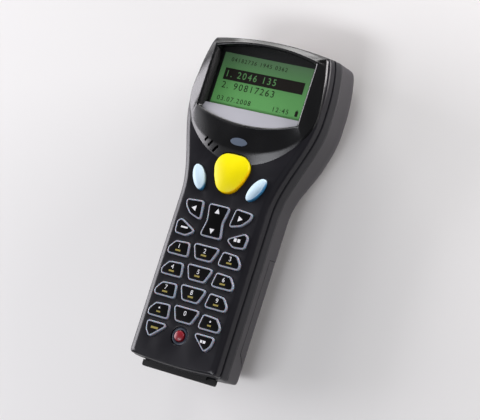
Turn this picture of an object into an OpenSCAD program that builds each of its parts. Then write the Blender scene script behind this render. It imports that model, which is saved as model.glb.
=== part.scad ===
// Portable barcode data terminal: a wide display head on a narrower keypad handle.
// X runs across the face, Y from the handle to the head, Z from the back of the head to the face.
// "s" is a distance along Y, measured from the bottom ends of the case's sides.

/* [Case] */
// Length of the case's sides
case_l = 162.6; // [156:0.2:176]
// Width of the head
head_w = 77; // [75:0.5:84]
// Width of the handle
handle_w = 53; // [52:0.5:58]
// Height of the window's rim over the back of the head
case_h = 36; // [33:0.2:40]
// Height of the window's rim over the keypad's face
face_h = 2.8; // [1.8:0.1:3.2]
// Height of the parting line over the back of the head
parting_h = 22; // [21.6:0.1:22.8]
// Depth of the styling groove under the keypad's face
groove_h = 5; // [4.2:0.1:6.2]
// Step from the back of the head to the back of the handle
handle_lift = 8.6; // [8:0.1:9.2]
// Wall of both mouldings
wall = 2; // [1.8:0.1:2.3]
// Rise of the head's arched end over its corners
top_bow = 2.8; // [1:0.1:4]
// Drop of the handle's arched end under its corners
bottom_bow = 1.2; // [0.4:0.1:1.6]
// Length of the head, from where the handle begins to widen
head_l = 80.6; // [79:0.2:84]
// Length over which the sides flare out
flare_l = 50; // [44:1:56]
// Amount that each side of the head draws in toward its end
top_taper = 3.6; // [2:0.1:5]
// Corner radius along the back of the handle
handle_corner = 5.2; // [4:0.2:6]
// Corner radius along the back of the head
head_corner = 12; // [8:0.5:14]
// Clearance between pieces that move against each other
gap = 0.3; // [0.25:0.01:0.35]

/* [Display] */
// Width of the window's opening
window_w = 57.8; // [54:0.2:60]
// Height of the window's opening at its sides
window_l = 31.2; // [30:0.2:32]
// Distance from the head's corners to the window's upper corners
window_margin = 5.4; // [5:0.1:7]
// Depth of the clear window under its rim
window_depth = 3.8; // [3:0.1:4]
// Thickness of the clear window
window_t = 1.2; // [0.8:0.1:1.4]
// Height of the crescent trim at its middle
trim_l = 8; // [6:0.5:9]
// Width of the display glass
glass_w = 58; // [52:0.5:60]
// Height of the display glass
glass_l = 33; // [30:0.5:34]
// Width of the lit part of the display
lit_w = 52.4; // [46:0.2:53]
// Height of the lit part of the display
lit_l = 27.6; // [24:0.2:28]
// Thickness of the display glass
glass_t = 1.5; // [1:0.1:1.6]

/* [Keypad] */
// Distance from the bottom end to the lowest row of digits
digits_s = 24.1; // [23.6:0.1:26]
// Distance between rows of keys
row_pitch = 10.46; // [10.2:0.02:10.8]
// Distance from the middle to the outer columns
column_x = 15.07; // [14.6:0.05:15.4]
// Height of the key tops over the keypad's face
key_rise = 1; // [0.6:0.1:1.4]
// Travel of a key
key_travel = 1; // [0.6:0.1:1.1]
// Corner radius of a key
key_corner = 1.2; // [0.8:0.1:1.5]
// Width of the pale bevel round a key
key_bevel = 0.8; // [0.4:0.1:1]
// Thickness of the rubber sheet under the keys
mat_t = 1.2; // [1:0.1:1.3]
// Radius of the power button
power_r = 2.6; // [2.2:0.1:3]
// Distance from where the handle widens to the scan button's middle
scan_button_s = 14.6; // [14:0.1:16]
// Height of the scan button's crown over the keypad's face
scan_button_rise = 2.8; // [2:0.1:3.2]
// Length of an oval side button
side_button_l = 13.5; // [12:0.1:14]
// Width of an oval side button
side_button_w = 6.5; // [5.5:0.1:7]
// Lean of an oval side button
side_button_lean = 30; // [20:1:40]

/* [Battery] */
// Length of the battery cover along the back
cover_l = 57; // [54:0.5:60]
// Distance from the bottom end to the cover's lower edge
cover_s = 5; // [4:0.5:6]
// Height of the cover's side seam over the back of the head
cover_h = 17.6; // [16.5:0.1:18]
// Length of the battery pack
pack_l = 44; // [40:0.5:46]
// Width of the battery pack
pack_w = 38; // [32:0.5:40]
// Thickness of the battery pack
pack_t = 9; // [7:0.2:9.4]

/* [Fittings] */
// Width of the dock connector's lip
dock_w = 42; // [36:0.5:44]
// Amount that the dock connector's lip stands out
dock_lip = 2.4; // [2:0.1:3]
// Thickness of the dock connector's lip
dock_t = 3.4; // [3:0.1:4]
// Number of contacts in the dock connector
dock_count = 8; // [4:1:10]
// Radius of a case screw's shank
screw_r = 0.95; // [0.8:0.05:1]
// Thickness of the circuit board
board_t = 1.6; // [1:0.1:1.8]

/* [Hidden] */
$fn = 32;
case_colour = "#3b3b41";
key_colour = "#1b1b1f";
steel = "#b9bbbf";
gold = "#c9a64a";

// Stations along the case
waist_s = case_l - head_l;
shoulder_s = waist_s + flare_l;
step_s = waist_s + 6;
step_l = 24;
taper_s = shoulder_s + 6;
corner_l = 4;
corner_draw = 1;
y_start = dock_lip + bottom_bow - (dock_lip + bottom_bow + case_l + top_bow) / 2;

// Heights of the case
face_z = case_h - face_h;
groove_z = face_z - groove_h;
face_inside = face_z - wall;
mat_z = face_inside - mat_t;
window_top = case_h - window_depth;
window_z = window_top - window_t;
glass_top = window_z - 0.4;
glass_z = glass_top - glass_t;
board_top = glass_z - 1.2;
board_z = board_top - board_t;
cover_inside = handle_lift + wall;
tray_t = 1.4;
tray_top = parting_h + 0.3;
tray_z = tray_top - tray_t;

// Stations of the display, measured from the head's corners
window_top_s = case_l - window_margin;
window_low_s = window_top_s - window_l;
window_bow = 3.8;
window_drop = 5;
glass_s = window_top_s - 15.2;

// The digits' rows, and the rows over and under them
rows = [for (i = [0 : 3]) digits_s + i * row_pitch];
middle_lift = 0.63;
low_row_s = rows[0] - 9.6;
escape_s = rows[3] + 10.3;
arrow_s = rows[3] + 21.1;
button_s = waist_s + scan_button_s;
side_button_x = 16.7;
side_button_s = button_s - 5;
led_s = button_s + 15.7;
key_top = face_z + key_rise;
flange_grow = 0.6;
flange_t = mat_t - gap;
rocker_flange_t = 0.5;
plunger_z = board_top + key_travel + 0.2;

// ---------------------------------------------------------------- curves

function smooth(t) = t <= 0 ? 0 : t >= 1 ? 1 : t * t * (3 - 2 * t);
function past(s, from, over) = max(0, (s - from) / over);

// Half the width of the case at its parting line
function half_width(s) =
    handle_w / 2
    + (head_w - handle_w) / 2 * smooth((s - waist_s) / flare_l)
    - top_taper * pow(past(s, taper_s, case_l - taper_s), 2)
    - corner_draw * pow(past(s, case_l - corner_l, corner_l), 2)
    - corner_draw * pow(past(corner_l / 2 - s, 0, corner_l / 2), 2);

// Height of the back, and the radius of its long corners
function back_height(s) = handle_lift * (1 - smooth((s - step_s) / step_l));
function back_corner(s) = handle_corner + (head_corner - handle_corner) * smooth((s - step_s) / step_l);

// ---------------------------------------------------------------- the case as a stack of outlines

// Each level of the stack is either [inset, height] on the front, or [angle] round the back's corner.
front_levels = [
    [5, face_z], [3.6, face_z - 0.1], [2.4, face_z - 0.5], [1.5, face_z - 1.2], [0.9, face_z - 2.2],
    [0.6, groove_z + 0.7], [1.4, groove_z + 0.3], [1.4, groove_z - 0.3], [0.3, groove_z - 0.8],
    [0, parting_h + 0.4], [0.35, parting_h]
];
back_levels = [[0.35, parting_h], [0, parting_h - 0.4], [0], [15], [30], [45], [60], [75], [90]];
cavity_levels = [[0, parting_h + 1], [0], [30], [60], [90]];

handle_steps = 4;
head_steps = 20;
arch_steps = 10;
stations = concat(
    [0, corner_l / 2],
    [for (i = [1 : handle_steps]) i * waist_s / (handle_steps + 1)],
    [for (i = [0 : head_steps]) waist_s + i * head_l / head_steps]
);
side_count = len(stations);
ring_count = 2 * (side_count + arch_steps - 1);

function level_inset(level, s, skin) =
    len(level) == 2 ? skin + level[0] : skin + (back_corner(s) - skin) * (1 - cos(level[0]));
function level_height(level, s, skin) =
    len(level) == 2 ? level[1] : back_height(s) + skin + (back_corner(s) - skin) * (1 - sin(level[0]));

// The ends draw in less than the sides round the back's corners.
function end_inset(level, s, skin) =
    len(level) == 2 ? skin + level[0] : skin + 0.4 * (back_corner(s) - skin) * (1 - cos(level[0]));
function along(level, s, skin) =
    s
    + end_inset(level, 0, skin) * pow(1 - s / case_l, 12)
    - end_inset(level, case_l, skin) * pow(s / case_l, 12);
function side_point(level, s, skin) =
    [half_width(s) - level_inset(level, s, skin), along(level, s, skin), level_height(level, s, skin)];
function arch_point(corner, u, bow) = [corner[0] * u, corner[1] + bow * (1 - u * u), corner[2]];

// One closed outline: up the right side, over the head's arch, down the left and back along the bottom.
function ring(level, skin) =
    let (right = [for (s = stations) side_point(level, s, skin)])
    concat(
        right,
        [for (i = [1 : arch_steps - 1]) arch_point(right[side_count - 1], 1 - 2 * i / arch_steps, top_bow)],
        [for (i = [side_count - 1 : -1 : 0]) [-right[i][0], right[i][1], right[i][2]]],
        [for (i = [1 : arch_steps - 1]) arch_point(right[0], 2 * i / arch_steps - 1, -bottom_bow)]
    );

// Number of the point across from point i of a side
function across(i) = 2 * side_count + arch_steps - 2 - i;
function ring_cap(first) = concat(
    [for (i = [0 : side_count - 2]) [first + i, first + i + 1, first + across(i + 1), first + across(i)]],
    [[for (i = [side_count - 1 : across(side_count - 1)]) first + i]],
    [concat([first], [for (i = [across(0) : ring_count - 1]) first + i])]
);
function turned(faces) = [for (f = faces) [for (i = [len(f) - 1 : -1 : 0]) f[i]]];
function walls(levels, count) = [
    for (k = [0 : levels - 2])
        for (i = [0 : count - 1])
            let (j = (i + 1) % count)
            [k * count + i, (k + 1) * count + i, (k + 1) * count + j, k * count + j]
];

// The whole case as one solid, or with a skin taken off all round
module case_solid(levels, skin) {
    last = (len(levels) - 1) * ring_count;
    polyhedron(
        points = [for (level = levels) each ring(level, skin)],
        faces = turned(concat(ring_cap(0), walls(len(levels), ring_count), turned(ring_cap(last))))
    );
}

// A flat outline of the case at the parting line, drawn in by an inset
module plan(inset) polygon([for (p = ring([0, parting_h], inset)) [p[0], p[1]]]);
module cavity(skin) case_solid(cavity_levels, skin);

// ---------------------------------------------------------------- the head's mask

side_parts = [for (i = [0 : 8]) i / 8];
low_steps = 24;

// The right side of each ring runs from its upper corner to its lower corner.
function foot_side(t) =
    let (s = crease_top_s - t * (crease_top_s - foot_s))
    [half_width(s) - 1.3, s];
function crease_side(t) = [
    crease_low_x - (crease_low_x - crease_top_x) * pow(1 - t, 1.6),
    crease_top_s - t * (crease_top_s - crease_low_s)
];
function rim_side(t, grow) = [window_w / 2 + grow, window_top_s + grow - t * (window_l + grow)];

foot_s = shoulder_s - 3;
crease_top_x = half_width(case_l) - 2.2;
crease_low_x = half_width(shoulder_s) - 1.6;
crease_top_s = case_l - 2;
crease_low_s = shoulder_s + 2;

// A closed ring from its right side: down it, round the low edge, up the left and over the top.
// The low edge is a superellipse: a larger first power flattens it, a larger second one squares its corners.
function mask_ring(side, low_s, powers, bow, z) =
    let (low = side[len(side) - 1])
    concat(
        [for (p = side) [p[0], p[1], z]],
        [
            for (i = [1 : low_steps - 1])
                let (u = cos(180 * i / low_steps))
                [low[0] * u, low[1] - (low[1] - low_s) * pow(1 - pow(abs(u), powers[0]), 1 / powers[1]), z]
        ],
        [for (i = [len(side) - 1 : -1 : 0]) [-side[i][0], side[i][1], z]],
        [
            for (i = [1 : arch_steps - 1])
                let (u = 2 * i / arch_steps - 1)
                [side[0][0] * u, side[0][1] + bow * (1 - u * u), z]
        ]
    );
function rim_ring(grow, z) = mask_ring(
    [for (t = side_parts) rim_side(t, grow)],
    window_low_s - window_drop - grow, [2, 1], window_bow, z
);

// The raised face round the window, with its crease and the collar that falls from it
module face_mask() {
    rings = [
        mask_ring([for (t = side_parts) foot_side(t)], button_s + 2, [1.6, 1.8], top_bow, face_z - 2.2),
        mask_ring([for (t = side_parts) crease_side(t)], button_s + 10.8, [2.6, 2], top_bow, case_h - 1.4),
        rim_ring(0.9, case_h - 0.25),
        rim_ring(0.5, case_h)
    ];
    count = len(rings[0]);
    // Each end's outline starts at the middle of its low edge.
    start = len(side_parts) - 1 + low_steps / 2;
    round_trip = [for (i = [0 : count - 1]) (start + i) % count];
    polyhedron(
        points = [for (r = rings) each r],
        faces = concat(
            turned([round_trip]),
            turned(walls(len(rings), count)),
            [[for (i = round_trip) (len(rings) - 1) * count + i]]
        )
    );
}

// The window's opening as a flat outline
module window_shape(grow) polygon([for (p = rim_ring(grow, 0)) [p[0], p[1]]]);

// ---------------------------------------------------------------- key outlines

// Each key is rounded about these corners, which run anticlockwise and are drawn for the right-hand side.
digit_side = [[-5.2, -2.5], [4.9, -2.5], [5, -1], [2.4, 2.2], [-4.4, 2.6]];
digit_middle = [[-3.9, -2.7], [3.9, -2.7], [6.1, 2.7], [-6.1, 2.7]];
arrow_corners = [[-3.6, -4.2], [1.6, -2.6], [4.6, 0.4], [5.2, 2.4], [-2.6, 3]];
escape_corners = [[-4.6, -0.8], [-1.4, -2.8], [3.8, -2.4], [4.2, 2], [3, 3]];
low_corners = [[1.6, -2.9], [3.6, -0.6], [4.2, 2.6], [-4.8, 2.6]];
updown_corners = [[-3.5, 0], [3.5, 0], [4.9, 7.1], [-4.9, 7.1]];
arrow_x = 13;
escape_x = 15.6;
low_x = 14.5;

corner_steps = 5;
function heading(a, b) = atan2(b[1] - a[1], b[0] - a[0]);
function spread(from, to) = (to - from + 720) % 360;
function rounded_points(corners, r) = [
    for (i = [0 : len(corners) - 1])
        let (
            before = corners[(i + len(corners) - 1) % len(corners)],
            after = corners[(i + 1) % len(corners)],
            first = heading(before, corners[i]) - 90,
            turn = spread(first, heading(corners[i], after) - 90)
        )
        for (k = [0 : corner_steps])
            let (a = first + turn * k / corner_steps)
            corners[i] + r * [cos(a), sin(a)]
];
module rounded(corners, grow) polygon(rounded_points(corners, key_corner + grow));
module updown_shape(grow) for (turn = [0, 180]) rotate(turn) rounded(updown_corners, grow);
module power_shape(grow) circle(power_r + grow);
module scan_shape(grow) {
    hull() {
        for (side = [-1, 1]) translate([4.2 * side, 4]) circle(5.7 + grow);
        translate([0, -3]) circle(6.8 + grow);
    }
}
module side_button_shape(grow) {
    a = side_button_l / 2 + grow;
    b = side_button_w / 2 + grow;
    rotate(-side_button_lean) polygon([for (t = [0 : 12 : 348]) [b * cos(t), a * sin(t)]]);
}

// Every key's place and outline, in one list of [name, x, s, kind, mirrored]
keys = [
    ["key_0", 0, rows[0] + middle_lift, "middle", 0],
    ["key_low_left", -column_x, rows[0], "side", 1],
    ["key_low_right", column_x, rows[0], "side", 0],
    ["key_7", -column_x, rows[1], "side", 1],
    ["key_8", 0, rows[1] + middle_lift, "middle", 0],
    ["key_9", column_x, rows[1], "side", 0],
    ["key_4", -column_x, rows[2], "side", 1],
    ["key_5", 0, rows[2] + middle_lift, "middle", 0],
    ["key_6", column_x, rows[2], "side", 0],
    ["key_1", -column_x, rows[3], "side", 1],
    ["key_2", 0, rows[3] + middle_lift, "middle", 0],
    ["key_3", column_x, rows[3], "side", 0],
    ["key_escape", -escape_x, escape_s, "escape", 1],
    ["key_back", escape_x, escape_s, "escape", 0],
    ["key_left", -arrow_x, arrow_s, "arrow", 1],
    ["key_right", arrow_x, arrow_s, "arrow", 0],
    ["key_alpha", -low_x, low_row_s, "low", 1],
    ["key_function", low_x, low_row_s, "low", 0],
    ["key_power", 0, low_row_s, "power", 0],
    ["key_updown", 0, arrow_s - 4.4, "updown", 0],
    ["scan_button", 0, button_s, "scan", 0],
    ["side_button_left", -side_button_x, side_button_s, "oval", 1],
    ["side_button_right", side_button_x, side_button_s, "oval", 0]
];
function key_row(name) = keys[search([name], keys)[0]];

module key_shape(row, grow) {
    kind = row[3];
    translate([row[1], row[2]]) mirror([row[4], 0]) {
        if (kind == "side") rounded(digit_side, grow);
        if (kind == "middle") rounded(digit_middle, grow);
        if (kind == "arrow") rounded(arrow_corners, grow);
        if (kind == "escape") rounded(escape_corners, grow);
        if (kind == "low") rounded(low_corners, grow);
        if (kind == "power") power_shape(grow);
        if (kind == "updown") updown_shape(grow);
        if (kind == "scan") scan_shape(grow);
        if (kind == "oval") side_button_shape(grow);
    }
}

// ---------------------------------------------------------------- helpers

// From the case's own stations to the part's frame
module place() translate([0, y_start, 0]) children();
module slab(z, t) translate([0, 0, z]) linear_extrude(t) children();
module block(x, s, z) translate([x[0], s[0], z[0]]) cube([x[1] - x[0], s[1] - s[0], z[1] - z[0]]);
module wide(half, s, z) block([-half, half], s, z);
module flat(half, s) translate([-half, s[0]]) square([2 * half, s[1] - s[0]]);
module post(at, r, z0, z1) translate([at[0], at[1], z0]) cylinder(r = r, h = z1 - z0);
module bar(x0, x1, r, s, z) translate([x0, s, z]) rotate([0, 90, 0]) cylinder(r = r, h = x1 - x0);

screw_places = [
    for (side = [-1, 1])
        each [
            [side * (handle_w / 2 - wall - 2.2), 7],
            [side * (half_width(led_s + 4.6) - 7.4), led_s + 4.6]
        ]
];
boss_r = 2.7;
insert_r = 1.6;
head_r = 1.9;
head_t = 1.5;
// Height at which each screw's head seats: under the cover, and in the head's deep wells
function seat_height(at) = parting_h - (at[1] < cover_s + 8 ? 9 : 8);

// ---------------------------------------------------------------- mouldings

module front_shell() color(case_colour) place() difference() {
    union() {
        difference() {
            union() {
                case_solid(front_levels, 0);
                face_mask();
            }
            slab(parting_h - 1, face_inside - parting_h + 1) plan(wall);
        }
        for (at = screw_places) post(at, boss_r, parting_h, face_inside);
    }
    for (row = keys) slab(face_inside - wall, case_h) key_shape(row, gap);
    post([0, low_row_s], power_r + 2.1, face_z - 0.9, case_h);
    slab(window_top, case_h) window_shape(0);
    slab(parting_h, window_top - parting_h) window_shape(1.5);
    slab(parting_h, case_h) status_lens_shape(gap / 2);
    for (i = [0 : 2]) sound_slot(i);
    seal_channel();
    dock_neck(0.15);
    for (at = screw_places) post(at, insert_r, parting_h - wall, parting_h + 5.2);
}

// Three slots in a row beside the scan button, each a little longer than the last
slot_lengths = [1.5, 2.6, 3.3];
slot_places = [[-19, 14.2], [-16, 12.4], [-12.5, 10.4]];
module sound_slot(i) {
    translate([slot_places[i][0], button_s + slot_places[i][1], parting_h])
        rotate(45)
            linear_extrude(case_h)
                hull() for (end = [-1, 1]) translate([end * slot_lengths[i] / 2, 0]) circle(0.65, $fn = 16);
}

// The lower edge of the cover's sides slants back toward the end of the handle.
module cover_profile(grow) {
    rotate([90, 0, 90])
        translate([0, 0, -head_w])
            linear_extrude(2 * head_w)
                polygon([
                    [cover_s - grow, -1],
                    [cover_s - grow, handle_lift],
                    [cover_s + 10 - grow, cover_h + grow],
                    [cover_s + cover_l + grow, cover_h + grow],
                    [cover_s + cover_l + grow, -1]
                ]);
}

bulkhead_s = cover_s + cover_l + 4.5;
bay_s = cover_s + 9;
scan_low = 4.6;
scan_high = parting_h - 3.4;
scan_half = 23;

module rear_shell() color(case_colour) place() difference() {
    union() {
        difference() {
            case_solid(back_levels, 0);
            cover_profile(gap);
            intersection() {
                cavity(wall);
                union() {
                    wide(head_w, [bulkhead_s + 1.5, case_l + 9], [0, case_h]);
                    wide(head_w, [bay_s, bulkhead_s], [0, tray_z]);
                }
            }
        }
        intersection() {
            union() {
                slab(tray_z, parting_h - tray_z) plan(wall - 0.2);
                slab(tray_z, tray_t) plan(wall + gap);
            }
            wide(head_w, [bay_s - 1, bulkhead_s + 1], [tray_z, tray_top]);
        }
        for (at = screw_places) if (at[1] > bulkhead_s) intersection() {
            post(at, boss_r + 0.5, 0, parting_h);
            cavity(wall / 2);
        }
    }
    for (at = screw_places) {
        post(at, head_r + 0.3, -1, seat_height(at));
        post(at, screw_r + 0.2, 0, parting_h + 1);
    }
    seal_channel();
    dock_neck(0.15);
    scan_opening();
    slab(tray_z - 1, 3) rounded([[-3, bulkhead_s - 2], [3, bulkhead_s - 2]], 0);
}

// The groove that both mouldings leave for the seal
seal_out = 0.6;
seal_w = 0.8;
module seal_ring(grow) difference() {
    plan(seal_out - grow);
    plan(seal_out + seal_w + grow);
}
module seal_channel() slab(parting_h - 0.7, 1.4) seal_ring(0.1);

// A window in the arched end, with a step inside that the pane seats on
pane_t = 1.5;
pane_s = case_l - 2.1;
module scan_opening() {
    wide(scan_half, [pane_s - 6, case_l + 9], [scan_low, scan_high]);
    wide(scan_half + 2, [pane_s - 6, pane_s + pane_t], [scan_low - 1.5, scan_high + 1.5]);
}

// The neck of the dock connector passes through both mouldings at the parting line.
dock_z = parting_h + 1;
neck_half = dock_w / 2 - 4;
module dock_neck(grow) {
    wide(neck_half + grow, [-9, wall + 7], [dock_z - 2.4 - grow, dock_z + 2.4 + grow]);
}

module case_seal() color("#18181a") place() difference() {
    slab(parting_h - 0.6, 1.2) seal_ring(0);
    dock_neck(gap);
}

// The cover: the back of the handle below its side seam, with two tabs that hook behind the shell's edge
tab_x = 14;
tab_half = 4;
tab_z = cover_inside + 0.4;
tab_t = 1.6;
// The cover's back stops short of its sides, so that it clears the shell as it swings.
cover_edge = cover_s + cover_l - 1;
module battery_cover() color(case_colour) place() {
    difference() {
        intersection() {
            case_solid(back_levels, 0);
            cover_profile(0);
        }
        cavity(wall - 0.2);
        wide(head_w, [cover_edge, cover_s + cover_l + 1], [-1, tab_z - gap]);
    }
    for (side = [-1, 1]) translate([side * tab_x, 0, 0]) {
        wide(tab_half, [pack_s + pack_l + gap, cover_edge], [cover_inside - 1, tab_z + tab_t]);
        wide(tab_half, [cover_edge - 0.6, cover_s + cover_l + 3.6], [tab_z, tab_z + tab_t]);
    }
    for (i = [0 : 4]) {
        s = cover_s + 13 + 8 * i;
        wide(handle_w / 2 - wall - 3, [s, s + 1], [cover_inside - 0.6, cover_inside + 0.4]);
    }
}

// ---------------------------------------------------------------- display

module display_window() color("#9fb0a8", 0.5) place() slab(window_z, window_t) window_shape(1.4);

module display_trim() color("#b6b8bb") place() intersection() {
    slab(window_top, case_h) window_shape(-0.15);
    rotate([90, 0, 90])
        translate([0, 0, -head_w])
            linear_extrude(2 * head_w)
                polygon([
                    [window_low_s - window_drop - 1, window_top],
                    [window_low_s - window_drop + trim_l, window_top],
                    [window_low_s - window_drop + trim_l, window_top + 0.5],
                    [window_low_s - window_drop - 1, case_h - 0.2]
                ]);
}

module lcd_panel() color("#86c27a") place()
    wide(glass_w / 2, [glass_s - glass_l / 2, glass_s + glass_l / 2], [glass_z, glass_top]);

// A pressed frame that holds the glass to the board
module lcd_frame() color("#26262a") place() difference() {
    wide(glass_w / 2 + 1, [glass_s - glass_l / 2 - 1, glass_s + glass_l / 2 + 1], [board_top, window_z]);
    wide(glass_w / 2, [glass_s - glass_l / 2, glass_s + glass_l / 2], [board_top - 1, glass_top]);
    wide(lit_w / 2, [glass_s - lit_l / 2, glass_s + lit_l / 2], [board_top, window_z + 1]);
}

module backlight_plate() color("#e4ecd8") place()
    wide(glass_w / 2 - 0.3, [glass_s - glass_l / 2 + 0.3, glass_s + glass_l / 2 - 0.3], [board_top, glass_z]);

// ---------------------------------------------------------------- keypad

// A rubber sheet with an opening for each key's flange
module keypad_mat() color("#2b2d33") place() slab(mat_z, mat_t) difference() {
    union() {
        flat(column_x + 8.4, [low_row_s - 5.6, button_s - 5.6]);
        flat(side_button_x + 4.7, [arrow_s, led_s - 4]);
    }
    for (row = keys) key_shape(row, flange_grow + gap);
    translate(buzzer_at) circle(buzzer_r + gap);
    for (at = screw_places) translate(at) circle(boss_r + gap);
}

// A key: its top inside a pale bevel, a stem, the flange that keeps it in, and its plunger
module key_body(name) {
    row = key_row(name);
    color(key_colour) place() {
        hull() {
            slab(key_top - 0.1, 0.1) key_shape(row, -key_bevel);
            slab(key_top - 1, 0.3) key_shape(row, 0);
        }
        slab(mat_z, key_top - mat_z - 0.7) key_shape(row, 0);
        slab(mat_z, flange_t) key_shape(row, flange_grow);
        post([row[1], row[2]], 2, plunger_z, mat_z + 0.2);
    }
}

module key_0() key_body("key_0");
module key_1() key_body("key_1");
module key_2() key_body("key_2");
module key_3() key_body("key_3");
module key_4() key_body("key_4");
module key_5() key_body("key_5");
module key_6() key_body("key_6");
module key_7() key_body("key_7");
module key_8() key_body("key_8");
module key_9() key_body("key_9");
module key_low_left() key_body("key_low_left");
module key_low_right() key_body("key_low_right");
module key_left() key_body("key_left");
module key_right() key_body("key_right");
module key_escape() key_body("key_escape");
module key_back() key_body("key_back");
module key_alpha() key_body("key_alpha");
module key_function() key_body("key_function");

// The up and down key is one rocker on a ridge that it tips over.
module key_updown() {
    row = key_row("key_updown");
    color(key_colour) place() {
        for (turn = [0, 180]) hull() {
            slab(key_top - 0.1, 0.1) translate([0, row[2]]) rotate(turn) updown_half(-key_bevel);
            slab(key_top - 1, 0.3) translate([0, row[2]]) rotate(turn) updown_half(0);
        }
        slab(mat_z, key_top - mat_z - 0.7) key_shape(row, 0);
        slab(mat_z, rocker_flange_t) key_shape(row, flange_grow);
        wide(3, [row[2] - 0.4, row[2] + 0.4], [board_top + gap, mat_z + 0.2]);
        for (end = [-1, 1]) post([0, row[2] + 6 * end], 1.6, plunger_z - 0.4, mat_z + 0.2);
    }
}
module updown_half(grow) rounded(updown_corners, grow);

module key_power() {
    row = key_row("key_power");
    color("#b3322f") place() {
        intersection() {
            slab(mat_z, case_h - mat_z) key_shape(row, 0);
            translate([row[1], row[2], key_top - 9]) sphere(9, $fn = 96);
        }
        slab(mat_z, flange_t) key_shape(row, flange_grow);
        post([row[1], row[2]], 2, plunger_z, mat_z + 0.2);
    }
}

// A domed button: its outline cut by a large sphere
module domed_button(name, rise, dome_r) {
    row = key_row(name);
    intersection() {
        slab(mat_z, case_h - mat_z) key_shape(row, 0);
        translate([row[1], row[2], face_z + rise - dome_r]) sphere(dome_r, $fn = 180);
    }
    slab(mat_z, flange_t) key_shape(row, flange_grow);
    post([row[1], row[2]], 2.4, plunger_z, mat_z + 0.2);
}
module scan_button() color("#f2cf1d") place() domed_button("scan_button", scan_button_rise, 38);
module side_button_left() color("#cfe3ee") place() domed_button("side_button_left", 2.2, 19);
module side_button_right() color("#cfe3ee") place() domed_button("side_button_right", 2.2, 19);

// ---------------------------------------------------------------- electronics

module board_shape() difference() {
    intersection() {
        plan(wall + 0.9);
        board_outline();
    }
    for (at = screw_places) translate(at) circle(boss_r + 0.7);
}
module board_outline() {
    flat(column_x + 7.4, [low_row_s - 3.4, waist_s + 0.6]);
    flat(column_x + 5.3, [waist_s - 1, led_s + 8]);
    flat(head_w / 2 - 5.4, [led_s + 1.5, glass_s + glass_l / 2 + 1.5]);
}
module main_board() color("#2f6b46") place() slab(board_z, board_t) board_shape();

// Chips and connectors on the back of the board: [x, s, width, length, thickness]
chips = [
    [-14, led_s + 19.7, 12, 12, 1.4], [4, led_s + 21.7, 14, 9, 1.2], [20, led_s + 15.7, 8, 14, 1.6],
    [-6, led_s + 5.7, 9, 6, 1.1], [8, waist_s + 10, 10, 8, 1.3], [-9, waist_s + 2, 7, 7, 1.2],
    [0, waist_s - 8, 20, 4, 2.2], [-16, waist_s - 9, 6, 5, 1], [16, waist_s - 8, 5, 5, 1]
];
module board_parts() color("#1d1e22") place()
    for (c = chips)
        translate([c[0] - c[2] / 2, c[1] - c[3] / 2, board_z - c[4]]) cube([c[2], c[3], c[4]]);

module status_lens_shape(grow) {
    translate([0, led_s]) polygon([for (t = [0 : 12 : 348]) [(4.8 + grow) * cos(t), (1.9 + grow) * sin(t)]]);
}
module status_led_lens() color("#8f9aa8") place() {
    intersection() {
        slab(mat_z, case_h - mat_z) status_lens_shape(0);
        translate([0, led_s, case_h - 0.35 - 30]) sphere(30, $fn = 180);
    }
    slab(mat_z, mat_t) status_lens_shape(0.8);
}
module status_led() color("#d9d9cf") place() {
    wide(1.6, [led_s - 0.8, led_s + 0.8], [board_top, board_top + 0.9]);
    post([0, led_s], 0.6, board_top + 0.9, mat_z);
}
buzzer_at = [-17, button_s + 12.4];
buzzer_r = 4.4;
module buzzer() color("#202124") place() difference() {
    post(buzzer_at, buzzer_r, board_top, face_inside);
    post(buzzer_at, 0.9, board_top + 1, face_inside + 1);
}
module backup_cell() color(steel) place() post([14.6, led_s + 2.8], 5, board_z - 2, board_z);

// ---------------------------------------------------------------- scanning head

engine_half = 15.4;
engine_l = 16;
bracket_t = 1.4;
bracket_l = engine_l + 2;
bracket_top = scan_high - 0.6;
engine_top = bracket_top - 0.6;
engine_s = pane_s - 6 - bracket_l;
optic_z = (wall + engine_top + 1) / 2;
cone_l = 7;
module scan_bracket() color(steel) place() difference() {
    wide(engine_half + 0.2 + bracket_t, [engine_s, engine_s + bracket_l], [wall, bracket_top]);
    wide(engine_half + 0.2, [engine_s - 1, engine_s + bracket_l + 1], [wall + 1, bracket_top + 1]);
}
module scan_engine() color("#33353b") place() {
    front = engine_s + 1 + engine_l;
    difference() {
        wide(engine_half, [engine_s + 1, front], [wall + 1, engine_top]);
        translate([0, front - cone_l, optic_z]) rotate([-90, 0, 0]) cylinder(r1 = 3, r2 = 6, h = cone_l + 1);
    }
    translate([0, front - cone_l - 2, optic_z]) rotate([-90, 0, 0]) cylinder(r = 2.4, h = cone_l - 2);
}
module scan_window() color("#4a1a1f", 0.8) place()
    wide(scan_half + 1.9, [pane_s, pane_s + pane_t], [scan_low - 1.4, scan_high + 1.4]);

// ---------------------------------------------------------------- power

pack_s = bay_s + 1;
module battery_pack() color("#3c4a5e") place() {
    translate([-pack_w / 2, pack_s, tray_z - pack_t - 0.1]) rounded_box([pack_w, pack_l, pack_t], 1.5);
}
module rounded_box(size, r) {
    linear_extrude(size[2])
        hull() for (x = [r, size[0] - r], y = [r, size[1] - r]) translate([x, y]) circle(r);
}
module battery_contacts() color(gold) place()
    for (i = [-1 : 1]) translate([6 * i, 0, 0]) {
        wide(1, [bulkhead_s - 0.4, bulkhead_s], [tray_z - 7, tray_z]);
        rotate([90, 0, 90]) translate([0, 0, -1]) linear_extrude(2) polygon([
            [bulkhead_s, tray_z - 7],
            [bulkhead_s - 0.3, tray_z - 7.3],
            [pack_s + pack_l + 0.1, tray_z - 3.5],
            [bulkhead_s - 0.3, tray_z - 0.4],
            [bulkhead_s - 0.3, tray_z - 0.9],
            [pack_s + pack_l + 0.5, tray_z - 3.5]
        ]);
    }

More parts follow.
